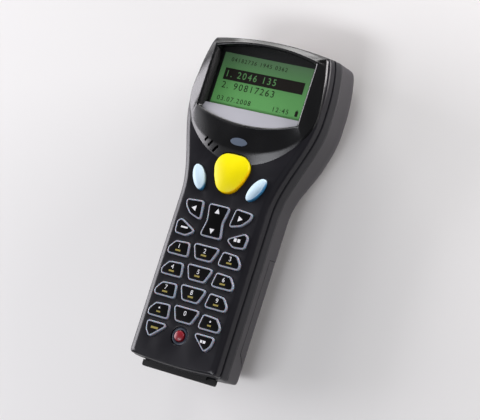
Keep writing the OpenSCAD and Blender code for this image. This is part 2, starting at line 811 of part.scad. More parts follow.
module dock_connector() color("#141416") place() difference() {
    union() {
        intersection() {
            wide(dock_w / 2, [-bottom_bow - dock_lip, 0], [dock_z - dock_t / 2, dock_z + dock_t / 2]);
            translate([0, 0, dock_z - dock_t]) linear_extrude(2 * dock_t) hull() for (side = [-1, 1]) {
                translate([side * (dock_w / 2 - 1), -bottom_bow - dock_lip + 1]) circle(1);
                translate([side * (dock_w / 2 - 1), 0]) circle(1);
            }
            lip_clear();
        }
        wide(neck_half, [-bottom_bow - 0.5, wall + 6], [dock_z - 2.4, dock_z + 2.4]);
    }
    for (i = [0 : dock_count - 1]) dock_pin(i, pin_r + 0.05, -20, 20);
}
// The lip stops short of the handle's arched end.
module lip_clear() difference() {
    wide(head_w, [-20, 20], [0, case_h]);
    slab(0, case_h) plan(-0.1);
}
pin_r = 0.55;
pin_pitch = 3.2;
module dock_pin(i, r, s0, s1) {
    translate([(i - (dock_count - 1) / 2) * pin_pitch, s0, dock_z])
        rotate([-90, 0, 0])
            cylinder(r = r, h = s1 - s0);
}
module dock_pins() color(gold) place()
    for (i = [0 : dock_count - 1]) dock_pin(i, pin_r, -bottom_bow - dock_lip, wall + 8);

// ---------------------------------------------------------------- fasteners

module case_screws() color(steel) place() for (at = screw_places) difference() {
    union() {
        post(at, head_r, seat_height(at) - head_t, seat_height(at));
        post(at, screw_r, seat_height(at) - 0.1, parting_h + 4.8);
    }
    translate([at[0], at[1], seat_height(at) - head_t - 0.1])
        for (turn = [0, 90]) rotate(turn) translate([-1.1, -0.25, 0]) cube([2.2, 0.5, 0.8]);
}
module screw_inserts() color(gold) place() for (at = screw_places) difference() {
    post(at, insert_r, parting_h + 0.2, parting_h + 5.2);
    post(at, screw_r + 0.05, parting_h, parting_h + 6);
}

// ---------------------------------------------------------------- the part

front_shell();
rear_shell();
case_seal();
display_window();
display_trim();
lcd_panel();
lcd_frame();
backlight_plate();
keypad_mat();
main_board();
board_parts();
status_led_lens();
status_led();
buzzer();
scan_engine();
scan_bracket();
scan_window();
battery_pack();
battery_contacts();
backup_cell();
dock_connector();
dock_pins();
case_screws();
screw_inserts();
battery_cover();
key_0();
key_1();
key_2();
key_3();
key_4();
key_5();
key_6();
key_7();
key_8();
key_9();
key_low_left();
key_low_right();
key_left();
key_right();
key_updown();
key_escape();
key_back();
key_alpha();
key_function();
key_power();
scan_button();
side_button_left();
side_button_right();
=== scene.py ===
"""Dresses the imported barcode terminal: moulded case, keys, display, finishes, lights and camera.

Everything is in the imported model's frame: X across the face, Y from the handle to the head and Z from the
back to the face. Lengths are in metres and are written as a number times MM. Growths and the outlines of keys
and small parts are bare numbers in millimetres. A station is a distance along Y from where the case's sides
begin at the handle's end.
"""

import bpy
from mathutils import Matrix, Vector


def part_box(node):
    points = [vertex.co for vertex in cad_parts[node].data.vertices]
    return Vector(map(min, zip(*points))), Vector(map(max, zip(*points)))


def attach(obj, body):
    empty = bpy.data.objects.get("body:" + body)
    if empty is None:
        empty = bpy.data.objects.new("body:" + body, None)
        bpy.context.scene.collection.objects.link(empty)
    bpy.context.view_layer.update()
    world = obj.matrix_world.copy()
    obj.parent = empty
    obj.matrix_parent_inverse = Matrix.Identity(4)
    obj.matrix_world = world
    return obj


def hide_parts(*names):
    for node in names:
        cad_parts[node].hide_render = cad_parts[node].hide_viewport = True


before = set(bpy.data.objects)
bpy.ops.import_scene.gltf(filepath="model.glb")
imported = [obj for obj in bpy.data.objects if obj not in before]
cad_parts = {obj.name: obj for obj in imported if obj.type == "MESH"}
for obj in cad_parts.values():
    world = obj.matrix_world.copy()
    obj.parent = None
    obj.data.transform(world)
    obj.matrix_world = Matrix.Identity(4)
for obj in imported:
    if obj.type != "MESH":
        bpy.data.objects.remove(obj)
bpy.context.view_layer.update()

from functools import lru_cache
from math import cos, pi, radians, sin

import bmesh
import bpy
import numpy as np
from bpy.props import FloatProperty, FloatVectorProperty, PointerProperty
from mathutils import Matrix, Vector
from mathutils.geometry import delaunay_2d_cdt

bl_info = {
    "name": "Barcode Terminal",
    "version": (1, 0, 0),
    "blender": (4, 5, 0),
    "location": "View3D > Sidebar > Terminal",
    "description": "Builds the visible pieces of a hand-held barcode data terminal around its packed model",
    "category": "Object",
}

MM = 0.001


@lru_cache(maxsize=None)
def box(node):
    """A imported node's lowest and highest corners."""
    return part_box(node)


def low(node, axis):
    """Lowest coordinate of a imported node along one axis."""
    return box(node)[0][axis]


def high(node, axis):
    """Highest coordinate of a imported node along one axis."""
    return box(node)[1][axis]


def box_middle(node):
    """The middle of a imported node's box, in X and Y."""
    return np.array([(low(node, axis) + high(node, axis)) / 2 for axis in (0, 1)])


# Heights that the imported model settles
RIM_Z = high("front_shell", 2)
PARTING_Z = low("front_shell", 2)
KEY_TOP_Z = high("key_1", 2)
GLASS_Z = high("lcd_panel", 2)
WINDOW_Z = high("display_window", 2)
GROOVE_TOP_Z = RIM_Z - 7.2 * MM


def length(name, description, default):
    """A size in millimetres, kept as a length in metres."""
    return FloatProperty(name=name, description=description, default=default * MM, unit="LENGTH", precision=5)


def colour(name, description, default):
    """A linear colour that a user may change."""
    return FloatVectorProperty(name=name, description=description, default=default, subtype="COLOR", size=3,
                               min=0.0, max=1.0)


def angle(name, description, degrees):
    """An angle in degrees, kept in radians."""
    return FloatProperty(name=name, description=description, default=radians(degrees), subtype="ANGLE")


class TerminalCase(bpy.types.PropertyGroup):
    """Sizes of the moulded case."""
    handle_width: length("Handle width", "Width of the handle at the parting line", 53.0)
    head_width: length("Head width", "Width of the head at the parting line", 77.0)
    waist: length("Waist station", "Where the handle begins to widen", 82.0)
    flare: length("Flare length", "Length over which the sides flare out", 50.0)
    taper: length("Top taper", "Amount that each side of the head draws in toward its end", 3.6)
    top_bow: length("Top bow", "Rise of the head's arched end over its corners", 2.8)
    bottom_bow: length("Bottom bow", "Drop of the handle's arched end under its corners", 1.2)
    face_drop: length("Face drop", "Height of the window's rim over the keypad's face", 2.8)
    groove_drop: length("Groove drop", "Depth of the styling groove under the keypad's face", 5.0)
    handle_lift: length("Handle lift", "Step from the back of the head to the back of the handle", 8.6)
    handle_corner: length("Handle corner", "Corner radius along the back of the handle", 5.2)
    head_corner: length("Head corner", "Corner radius along the back of the head", 12.0)
    wall: length("Wall", "Wall of both mouldings", 2.0)
    flat_margin: length("Crown width", "Distance from the sides at which the face turns flat", 4.0)
    corner_softness: length("Corner softness", "Amount by which the outline's corners are eased", 0.5)
    gap: length("Gap", "Clearance between pieces that move against each other", 0.3)
    cover_station: length("Cover station", "Distance from the bottom end to the cover's lower edge", 5.0)
    cover_length: length("Cover length", "Length of the battery cover", 57.0)
    cover_height: length("Cover seam", "Height of the cover's side seam", 17.6)


class TerminalDisplay(bpy.types.PropertyGroup):
    """Sizes of the window and its mask."""
    window_width: length("Window width", "Width of the window's opening", 57.8)
    window_length: length("Window height", "Height of the window's opening at its sides", 31.2)
    window_margin: length("Window margin", "Distance from the head's corners to the window's corners", 5.4)
    window_bow: length("Window arch", "Rise of the window's arched top", 3.8)
    window_drop: length("Window drop", "Drop of the window's arched lower edge", 5.0)
    wall_draft: length("Wall draft", "Slant of the window's side walls from the rim to the glass", 1.8)
    side_fall: length("Side fall", "How much further the mask's crease falls at the sides", 1.2)
    digit_height: length("Digit height", "Height of a digit on the display", 3.3)


class TerminalKeypad(bpy.types.PropertyGroup):
    """Sizes of the keys."""
    corner: length("Key corner", "Corner radius of a key", 1.2)
    corner_softness: length("Corner softness", "Amount by which a key's corners are eased", 0.7)
    bevel: length("Key bevel", "Width of the pale bevel round a key", 0.85)
    crown: length("Key crown", "Rise of a key's middle over its edge", 0.14)
    legend_height: length("Digit height", "Height of the digit on a key", 2.2)


class TerminalView(bpy.types.PropertyGroup):
    """The photographer's place."""
    yaw: angle("Yaw", "Turn of the camera to the right of the face", -31.94140358)
    pitch: angle("Pitch", "Turn of the camera below the face", -6.2007895)
    roll: angle("Roll", "Turn of the camera about its own axis", -17.66233941)
    distance: length("Distance", "Distance from the camera to the aimed point", 994.167)
    aim_x: length("Aim across", "Place across the view that the camera stands square to", 33.93346763)
    aim_y: length("Aim along", "Place along the view that the camera stands square to", 73.63754339)


class TerminalColours(bpy.types.PropertyGroup):
    """Colours of the finishes, in linear light."""
    case: colour("Case", "Charcoal front moulding", (0.005, 0.0045, 0.0075))
    # The rear moulding's own dark grey is made paler than the front moulding's as painted light for the floor's
    # reflection on the sides
    back: colour("Back", "Dark grey rear moulding and cover", (0.022, 0.0195, 0.0235))
    mask: colour("Mask", "Moulding round the window", (0.002, 0.002, 0.0024))
    key_cap: colour("Key cap", "Painted top of a key", (0.0015, 0.0015, 0.0018))
    key_rim: colour("Key rim", "Translucent body of a key", (0.33, 0.35, 0.42))
    scan: colour("Scan button", "Yellow scan button", (1.0, 0.85, 0.0005))
    side: colour("Side buttons", "Pale blue side buttons", (0.66, 0.84, 0.95))
    power: colour("Power button", "Red power button", (0.25, 0.012, 0.022))
    display: colour("Display", "Lit green of the display", (0.15, 0.46, 0.13))
    ink: colour("Ink", "Dark marks on the display", (0.012, 0.007, 0.005))
    trim: colour("Trim", "Silver trim", (0.385, 0.385, 0.42))


def settings(group):
    """One of the scene's groups of sizes or colours."""
    return getattr(bpy.context.scene, "terminal_" + group)


# ---------------- curves and grids

CORNER_L = 4.0 * MM
CORNER_DRAW = 0.6 * MM
STEP_AFTER_WAIST = 6.0 * MM
STEP_L = 24.0 * MM
TAPER_AFTER_FLARE = 6.0 * MM
END_POWER = 12
BACK_END_SHARE = 0.4
SIDE_POINTS = 360
ARCH_POINTS = 121
RING_POINTS = 600
SIDE_INSET = 0.6 * MM
END_CROWN_SHARE = 0.32


def smooth(t):
    """Smooth step: 0 below t = 0, 1 above t = 1, and three t squared less two t cubed between."""
    t = np.clip(t, 0.0, 1.0)
    return t * t * (3.0 - 2.0 * t)


def past(s, start, over):
    """How far s has gone past the start, as a share of a distance, and never below zero."""
    return np.maximum(0.0, (s - start) / over)


def case_length():
    """Length of the case's sides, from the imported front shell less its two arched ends."""
    case = settings("case")
    return high("front_shell", 1) - low("front_shell", 1) - case.top_bow - case.bottom_bow


def start_y():
    """Where station 0 lies in the frame."""
    return low("front_shell", 1) + settings("case").bottom_bow


def half_width(s):
    """Half the case's width: the handle's, a smooth step out to the head's, less square-law draws at the ends."""
    case, total = settings("case"), case_length()
    start = case.waist + case.flare + TAPER_AFTER_FLARE
    width = case.handle_width / 2 + (case.head_width - case.handle_width) / 2 * smooth((s - case.waist) / case.flare)
    width = width - case.taper * past(s, start, total - start) ** 2
    width = width - CORNER_DRAW * past(s, total - CORNER_L, CORNER_L) ** 2
    return width - CORNER_DRAW * past(CORNER_L / 2 - s, 0.0, CORNER_L / 2) ** 2


def even(loop, count, softness):
    """Points spaced evenly along a closed loop, then averaged with a bell curve that eases its corners."""
    closed = np.vstack([loop, loop[:1]])
    along = np.concatenate([[0.0], np.cumsum(np.linalg.norm(np.diff(closed, axis=0), axis=1))])
    at = np.linspace(0.0, along[-1], count, endpoint=False)
    points = np.stack([np.interp(at, along, closed[:, k]) for k in range(3)], axis=1)
    spacing = along[-1] / count
    reach = max(1, int(round(3.0 * softness / spacing)))
    steps = np.arange(-reach, reach + 1)
    weights = np.exp(-0.5 * (steps * spacing / softness) ** 2)
    weights /= weights.sum()
    return sum(w * np.roll(points, k, axis=0) for w, k in zip(weights, steps))


def ring(inset, height, ends=None):
    """One closed outline of the case, from the middle of the bottom end round to the right.

    Along the right side x is the half width less the inset, and y is the station, drawn in at both ends by
    the end inset times the twelfth power of nearness to that end. The ends are arches: u runs from 1 to -1
    and the point is (corner x times u, corner y plus bow times (1 - u squared)).
    """
    case, total = settings("case"), case_length()
    first, last = ends or (inset, inset)
    s = np.linspace(0.0, total, SIDE_POINTS)
    y = s + first * (1.0 - s / total) ** END_POWER - last * (s / total) ** END_POWER
    right = np.stack([half_width(s) - inset, y + start_y(), height + 0.0 * s], axis=1)
    u = np.linspace(1.0, -1.0, ARCH_POINTS)[1:-1, None]
    top, bottom = (corner + np.hstack([corner[0] * (v - 1.0), bow * (1.0 - v ** 2), 0.0 * v])
                   for corner, bow, v in ((right[-1], case.top_bow, u), (right[0], -case.bottom_bow, -u)))
    middle = len(bottom) // 2
    loop = np.vstack([bottom[middle:], right, top, right[::-1] * [-1.0, 1.0, 1.0], bottom[:middle]])
    return even(loop, RING_POINTS, case.corner_softness)


def front_ring(inset, height):
    """An outline of the front moulding at one inset and height; its crown is narrower at the ends."""
    share = END_CROWN_SHARE if height > GROOVE_TOP_Z else 1.0
    end = min(inset, SIDE_INSET) + max(0.0, inset - SIDE_INSET) * share
    return ring(inset, height, (end, end))


def back_ring(turn, skin):
    """An outline of the back, part of the way round its long corners, with a skin taken off.

    The back's height and its corner radius both go from the handle's to the head's by one smooth step.
    """
    case = settings("case")
    share = smooth((np.linspace(0.0, case_length(), SIDE_POINTS) - case.waist - STEP_AFTER_WAIST) / STEP_L)
    height = case.handle_lift * (1.0 - share)
    radius = case.handle_corner + (case.head_corner - case.handle_corner) * share - skin
    end = skin + BACK_END_SHARE * radius * (1.0 - cos(turn))
    return ring(skin + radius * (1.0 - cos(turn)), height + skin + radius * (1.0 - sin(turn)), (end[0], end[-1]))


def strip(rows, columns):
    """Quads that join each closed row of points to the next."""
    r = np.arange(rows - 1)[:, None] * columns
    c = np.arange(columns)[None, :]
    d = (c + 1) % columns
    return np.stack([r + c, r + d, r + columns + d, r + columns + c], axis=-1).reshape(-1, 4).tolist()


def across(count, first=0):
    """Quads that close a ring whose points k and count - k lie opposite each other."""
    k = np.arange(1, count // 2 - 1)
    quads = np.stack([k, k + 1, count - k - 1, count - k], axis=1) + first
    far = first + count // 2
    return quads.tolist() + [[first, first + 1, first + count - 1], [far - 1, far, far + 1]]


# ---------------- meshes

MERGE = 2e-7
CREASE = radians(32.0)


def centre(points):
    """The middle of the box round some points."""
    return (points.min(axis=0) + points.max(axis=0)) / 2


def coordinates(mesh):
    """A mesh's points as rows."""
    points = np.zeros(len(mesh.vertices) * 3)
    mesh.vertices.foreach_get("co", points)
    return points.reshape(-1, 3)


def at_height(outline, z):
    """A flat outline set at a height."""
    return np.column_stack([outline, np.full(len(outline), z)])


def stack(rings):
    """Closed rings joined each to the next."""
    return np.vstack(rings), strip(len(rings), len(rings[0]))


def hoop(rings):
    """Closed rings joined each to the next, and the last back to the first."""
    points, faces = stack(rings)
    count = len(rings[0])
    k, last = np.arange(count), len(points) - count
    d = (k + 1) % count
    return points, faces + np.stack([last + k, last + d, d, k], axis=1).tolist()


def capped(rings):
    """Closes a stack of rings with a point in the middle of its first ring and of its last."""
    points, faces = stack(rings)
    count, bottom = len(rings[0]), len(points)
    points = np.vstack([points, rings[0].mean(axis=0)[None], rings[-1].mean(axis=0)[None]])
    k = np.arange(count)
    d = (k + 1) % count
    edge = bottom - count
    faces += np.stack([np.full(count, bottom), d, k], axis=1).tolist()
    faces += np.stack([np.full(count, bottom + 1), edge + k, edge + d], axis=1).tolist()
    return points, faces


def joined(parts):
    """Several (points, faces) as one."""
    points, faces, first = [], [], 0
    for part_points, part_faces in parts:
        points.append(np.asarray(part_points, float))
        faces += [[i + first for i in face] for face in part_faces]
        first += len(part_points)
    return np.vstack(points), faces


def prism(outline, z0, z1):
    """A flat outline carried straight up from one height to another, with both ends closed."""
    points, faces = stack([at_height(outline, z0), at_height(outline, z1)])
    count = len(outline)
    return points, faces + [list(range(count))[::-1], list(range(count, 2 * count))]


def profile_prism(profile, half, x=0.0):
    """An outline in Y and Z carried across from -half to half of a middle."""
    count = len(profile)
    points, faces = stack([np.column_stack([np.full(count, side), profile]) for side in (-half, half)])
    return points + [x, 0.0, 0.0], faces + [list(range(count)), list(range(count, 2 * count))]


def box_part(x0, x1, y0, y1, z0, z1):
    """A plain cutter or rib with square corners."""
    return prism([[x0, y0], [x1, y0], [x1, y1], [x0, y1]], z0, z1)


def make_mesh(name, points, faces, merge=MERGE):
    """A mesh with doubled points merged and its faces turned outward."""
    mesh = bpy.data.meshes.new(name)
    mesh.from_pydata(np.asarray(points, float).tolist(), [], faces)
    work = bmesh.new()
    work.from_mesh(mesh)
    bmesh.ops.remove_doubles(work, verts=work.verts, dist=merge)
    bmesh.ops.recalc_face_normals(work, faces=work.faces)
    work.to_mesh(mesh)
    work.free()
    mesh.validate()
    return mesh


def soften(piece):
    """Smooth shading, with creases where faces meet at more than an angle."""
    piece.data.shade_smooth()
    piece.data.set_sharp_from_angle(angle=CREASE)
    return piece


def link(name, mesh, *materials):
    """A new object at the origin, whose place is in its mesh."""
    piece = bpy.data.objects.new(name, mesh)
    bpy.context.scene.collection.objects.link(piece)
    for material in materials:
        mesh.materials.append(material)
    return piece


def make_piece(name, part, *materials, merge=MERGE):
    """A smooth piece from its points and faces."""
    return soften(link(name, make_mesh(name, *part, merge), *materials))


def evaluated_mesh(holder):
    """A new mesh of an object with its modifiers or its curve worked in."""
    bpy.context.view_layer.update()
    graph = bpy.context.evaluated_depsgraph_get()
    return bpy.data.meshes.new_from_object(holder.evaluated_get(graph), depsgraph=graph)


def carve(piece, tool, operation="DIFFERENCE"):
    """Cuts the tool, a piece or a part, out of the piece, or joins or meets them, and deletes the tool."""
    if isinstance(tool, tuple):
        tool = make_piece("cutter", tool)
    modifier = piece.modifiers.new("carve", "BOOLEAN")
    modifier.operation = operation
    modifier.solver = "EXACT"
    modifier.object = tool
    old, piece.data = piece.data, evaluated_mesh(piece)
    piece.modifiers.clear()
    mesh = tool.data
    bpy.data.objects.remove(tool)
    bpy.data.meshes.remove(mesh)
    bpy.data.meshes.remove(old)
    soften(piece)


# ---------------- key outlines

# All of these are in millimetres. The corners run anticlockwise and are drawn for the right-hand side.
KEY_CORNERS = {
    "side": [[-5.2, -2.5], [4.9, -2.5], [5.0, -1.0], [2.4, 2.2], [-4.4, 2.6]],
    "middle": [[-3.9, -2.7], [3.9, -2.7], [6.1, 2.7], [-6.1, 2.7]],
    "arrow": [[-3.6, -4.2], [1.6, -2.6], [4.6, 0.4], [5.2, 2.4], [-2.6, 3.0]],
    "escape": [[-4.6, -0.8], [-1.4, -2.8], [3.8, -2.4], [4.2, 2.0], [3.0, 3.0]],
    "low": [[1.6, -2.9], [3.6, -0.6], [4.2, 2.6], [-4.8, 2.6]],
}
UPDOWN_CORNER = [4.9, 7.1]
UPDOWN_WAIST = 3.5
SCAN_CIRCLES = [[3.0, 3.0, 6.9], [-3.0, 3.0, 6.9], [0.0, -2.2, 7.6], [0.0, 0.9, 9.1]]
SIDE_BUTTON = [6.75, 3.25]
POWER_R = 2.6
POWER_WELL_R = 4.7
LENS_HALF = [4.8, 1.9]
FLANGE = 0.6
# Three slots beside the scan button: [x, distance past the button, length]
SOUND_SLOTS = [[-19.0, 14.2, 1.5], [-16.0, 12.4, 2.6], [-12.5, 10.4, 3.3]]
SLOT_R = 0.65

SIDE_LEAN = radians(30.0)
SLOT_LEAN = radians(45.0)
KEY_FLANGE = 0.85 * MM
ROCKER_FLANGE = 0.5 * MM
ARC_STEPS = 7
KEY_POINTS = 112
SLOT_POINTS = 40

KEY_KINDS = {
    "key_0": "middle", "key_low_left": "side", "key_low_right": "side",
    "key_7": "side", "key_8": "middle", "key_9": "side",
    "key_4": "side", "key_5": "middle", "key_6": "side",
    "key_1": "side", "key_2": "middle", "key_3": "side",
    "key_escape": "escape", "key_back": "escape", "key_left": "arrow", "key_right": "arrow",
    "key_alpha": "low", "key_function": "low", "key_updown": "updown", "key_power": "power",
    "scan_button": "scan", "side_button_left": "oval", "side_button_right": "oval",
}
CAPPED_KINDS = {*KEY_CORNERS, "updown"}
LEFT_HAND = {"key_low_left", "key_7", "key_4", "key_1", "key_escape", "key_left", "key_alpha", "side_button_left"}


def rounded(corners, radius):
    """Arcs of one radius about each corner of an anticlockwise outline, in millimetres.

    Each arc turns from the outward normal of the edge before its corner to that of the edge after it.
    """
    p = np.array(corners)
    edge = p - np.roll(p, 1, axis=0)
    before = np.arctan2(edge[:, 1], edge[:, 0]) - pi / 2
    turn = (np.roll(before, -1) - before) % (2 * pi)
    a = before[:, None] + turn[:, None] * np.linspace(0.0, 1.0, ARC_STEPS)
    return (p[:, None] + radius * np.stack([np.cos(a), np.sin(a)], axis=-1)).reshape(-1, 2)


def oval(half_y, half_x, lean=0.0, count=72):
    """An ellipse turned clockwise by a lean."""
    a = np.linspace(0.0, 2 * pi, count, endpoint=False)
    x, y = half_x * np.cos(a), half_y * np.sin(a)
    return np.stack([x * cos(lean) + y * sin(lean), y * cos(lean) - x * sin(lean)], axis=1)


def disc(radius, count=72):
    """A circle."""
    return oval(radius, radius, count=count)


def round_hull(circles, grow, count=96):
    """The tight outline round some circles: for each heading, the point of the circle that reaches furthest."""
    a = np.linspace(0.0, 2 * pi, count, endpoint=False)
    n = np.stack([np.cos(a), np.sin(a)], axis=1)
    c = np.array(circles)
    best = (n @ c[:, :2].T + c[:, 2]).argmax(axis=1)
    return c[best, :2] + (c[best, 2] + grow)[:, None] * n


def updown(radius):
    """The rocker's waisted outline: two wide ends with round corners, and the same half turned about."""
    x, y = UPDOWN_CORNER
    lean = np.arctan2(x - UPDOWN_WAIST, y)
    a = np.linspace(-lean, pi / 2, ARC_STEPS)[:, None]
    right = np.array([[x, y]]) + radius * np.hstack([np.cos(a), np.sin(a)])
    waist = [[-(UPDOWN_WAIST + radius / cos(lean)), 0.0]]
    half = np.vstack([right, right[::-1] * [-1.0, 1.0], waist])
    return np.vstack([half, -half])


def key_outline(kind, grow, mirrored):
    """A key's outline in millimetres about its own place, grown by an amount along its normals."""
    keypad = settings("keypad")
    corner = keypad.corner / MM
    if kind in CAPPED_KINDS:
        plain = updown(corner) if kind == "updown" else rounded(KEY_CORNERS[kind], corner)
        loop = even(at_height(plain, 0.0), KEY_POINTS, keypad.corner_softness / MM)[:, :2]
        along = np.roll(loop, -1, axis=0) - np.roll(loop, 1, axis=0)
        along /= np.linalg.norm(along, axis=1)[:, None]
        points = loop + grow * np.stack([along[:, 1], -along[:, 0]], axis=1)
    elif kind == "power":
        points = disc(POWER_R + grow)
    elif kind == "scan":
        points = round_hull(SCAN_CIRCLES, grow)
    else:
        points = oval(SIDE_BUTTON[0] + grow, SIDE_BUTTON[1] + grow, SIDE_LEAN)
    return points[::-1] * [-1.0, 1.0] if mirrored else points


def key_place(name):
    """A key's own place: the middle of its packed box, less the middle of its outline with the flange."""
    kind, mirrored = KEY_KINDS[name], name in LEFT_HAND
    if kind in KEY_CORNERS:
        outline = rounded(KEY_CORNERS[kind], settings("keypad").corner / MM + FLANGE) * [1.0 - 2.0 * mirrored, 1.0]
    else:
        outline = key_outline(kind, FLANGE, mirrored)
    return box_middle(name) - centre(outline * MM)


def key_at(name, grow):
    """A key's outline at its place, in metres."""
    return key_outline(KEY_KINDS[name], grow, name in LEFT_HAND) * MM + key_place(name)


def lens_at(grow):
    """The status light's outline at its place, in metres."""
    return oval(LENS_HALF[1] + grow, LENS_HALF[0] + grow) * MM + box_middle("status_led_lens")


def slot_at(slot, grow):
    """A sound slot's outline: two half circles joined by straight sides that lean."""
    x, past_button, long = slot
    reach = long / 2 * cos(SLOT_LEAN)
    circles = [[-reach, -reach, SLOT_R], [reach, reach, SLOT_R]]
    place = np.array([x, past_button]) * MM + key_place("scan_button") * [0.0, 1.0]
    return round_hull(circles, grow, SLOT_POINTS) * MM + place


# ---------------- finishes

NOISE_LOW, NOISE_HIGH = 0.3, 0.7
SLOW_SCALE = 38.0
GRAIN_DEPTH = 0.03 * MM
LINE_SCALE, LINE_DEPTH = 900.0, 0.01 * MM
PANE_SCALE = 60.0
CELL = 0.42 * MM


def fill(node, **values):
    """Sets a node up: a name in lower case is a property, and any other an input's value or what is linked to it."""
    for name, value in values.items():
        if name[0].islower():
            setattr(node, name, value)
        elif isinstance(value, bpy.types.NodeSocket):
            node.id_data.links.new(value, node.inputs[name.replace("_", " ")])
        else:
            node.inputs[name.replace("_", " ")].default_value = value
    return node


def add(material, kind, **values):
    """A new node of a material, set up."""
    return fill(material.node_tree.nodes.new("ShaderNode" + kind), **values)


def new_material(name):
    """A material with an empty node tree but for its shader and output."""
    material = bpy.data.materials.new(name)
    material.use_nodes = True
    return material, material.node_tree.nodes["Principled BSDF"]


def noise(material, scale, detail, stretch=None):
    """Noise on Object coordinates, stretched along an axis where the finish runs one way."""
    where = add(material, "TexCoord").outputs["Object"]
    if stretch:
        where = add(material, "Mapping", Scale=stretch, Vector=where).outputs["Vector"]
    return add(material, "TexNoise", Scale=scale, Detail=detail, Vector=where).outputs["Fac"]


def ramp(material, source, stops):
    """Colour stops [(position, colour)] along a source."""
    node = add(material, "ValToRGB", Fac=source)
    elements = node.color_ramp.elements
    for k in (0, -1):
        elements[k].position, elements[k].color = stops[k][0], (*stops[k][1], 1.0)
    for position, value in stops[1:-1]:
        elements.new(position).color = (*value, 1.0)
    return node.outputs["Color"]


def shade(tint, factor):
    """A colour made darker or paler."""
    return tuple(min(1.0, c * factor) for c in tint)


def drift(material, shader, source, tint, tones, roughness, swings):
    """Tone and roughness that drift with a source between two factors and two differences."""
    tone = ramp(material, source, [(NOISE_LOW, shade(tint, tones[0])), (NOISE_HIGH, shade(tint, tones[1]))])
    gloss = add(material, "MapRange", From_Min=NOISE_LOW, From_Max=NOISE_HIGH, To_Min=roughness + swings[0],
                To_Max=roughness + swings[1], Value=source)
    fill(shader, Base_Color=tone, Roughness=gloss.outputs["Result"])


def relief(material, source, depth, strength):
    """A bump of a depth in metres from a source."""
    return add(material, "Bump", Strength=strength, Distance=depth, Height=source).outputs["Normal"]


def moulded(name, tint, roughness, grain=2600.0, strength=0.35, variation=0.12, **sockets):
    """Moulded plastic: a fine spark-eroded grain, a slow drift of tone and a slow drift of roughness."""
    material, shader = new_material(name)
    slow, fine = noise(material, SLOW_SCALE, 3.0), noise(material, grain, 2.0)
    drift(material, shader, slow, tint, (1.0 - variation, 1.0 + variation), roughness, (-0.04, 0.04))
    fill(shader, Normal=relief(material, fine, GRAIN_DEPTH, strength), **sockets)
    return material


def metal(name, tint, roughness, stretch):
    """Drawn or plated metal: fine lines along one axis in its roughness and its relief."""
    material, shader = new_material(name)
    lines = noise(material, LINE_SCALE, 3.0, stretch)
    drift(material, shader, lines, tint, (0.9, 1.08), roughness, (-0.06, 0.08))
    fill(shader, Normal=relief(material, lines, LINE_DEPTH, 0.2), Metallic=1.0)
    return material


def clear_pane(name, tint, roughness, alpha):
    """A clear pane, tinted lightly, with a faint drift in its gloss."""
    material, shader = new_material(name)
    drift(material, shader, noise(material, PANE_SCALE, 2.0), tint, (0.9, 1.1), roughness, (-0.02, 0.03))
    fill(shader, Alpha=alpha, Specular_IOR_Level=0.35)
    return material


def display_green(name, tint):
    """Display glass: a fine grid of cells, and a green that is greyer and darker toward the head's end."""
    material, shader = new_material(name)
    where = add(material, "TexCoord").outputs["Object"]
    along = add(material, "SeparateXYZ", Vector=where).outputs["Y"]
    fall = add(material, "MapRange", From_Min=low("lcd_panel", 1), From_Max=high("lcd_panel", 1), Value=along)
    far_green = (tint[0] * 0.85, tint[1] * 0.52, tint[2] * 0.95)
    stops = [(0.0, shade(tint, 1.15)), (0.45, shade(tint, 1.0)), (1.0, far_green)]
    green = ramp(material, fall.outputs["Result"], stops)
    cells = add(material, "TexBrick", offset=0.0, Scale=1.0, Brick_Width=CELL, Row_Height=CELL,
                Mortar_Size=0.03 * MM, Color1=(1.0, 1.0, 1.0, 1.0), Color2=(0.94, 0.94, 0.94, 1.0),
                Mortar=(0.8, 0.8, 0.8, 1.0), Vector=where)
    blend = add(material, "Mix", data_type="RGBA", blend_type="MULTIPLY", Factor=0.5, A=green,
                B=cells.outputs["Color"])
    fill(shader, Base_Color=blend.outputs["Result"], Roughness=0.45, Specular_IOR_Level=0.3)
    return material


def rubber_with_painted_shade(name, tint, deep_tint, heading):
    """Translucent rubber: its own tint, with painted shade in a deeper tint where the surface faces along a heading.
    """
    material = moulded(name, tint, 0.38, strength=0.08, variation=0.03, Specular_IOR_Level=0.2)
    shader = material.node_tree.nodes["Principled BSDF"]
    facing = add(material, "NewGeometry").outputs["Normal"]
    along = add(material, "VectorMath", operation="DOT_PRODUCT", Vector=facing)
    along.inputs[1].default_value = heading
    share = add(material, "MapRange", interpolation_type="SMOOTHSTEP", From_Min=0.15, From_Max=0.8,
                Value=along.outputs["Value"])
    # Painted shade: the deeper tint is mixed in where the surface faces the heading.
    blend = add(material, "Mix", data_type="RGBA", Factor=share.outputs["Result"],
                A=shader.inputs["Base Color"].links[0].from_socket, B=(*deep_tint, 1.0))
    fill(shader, Base_Color=blend.outputs["Result"])
    return material


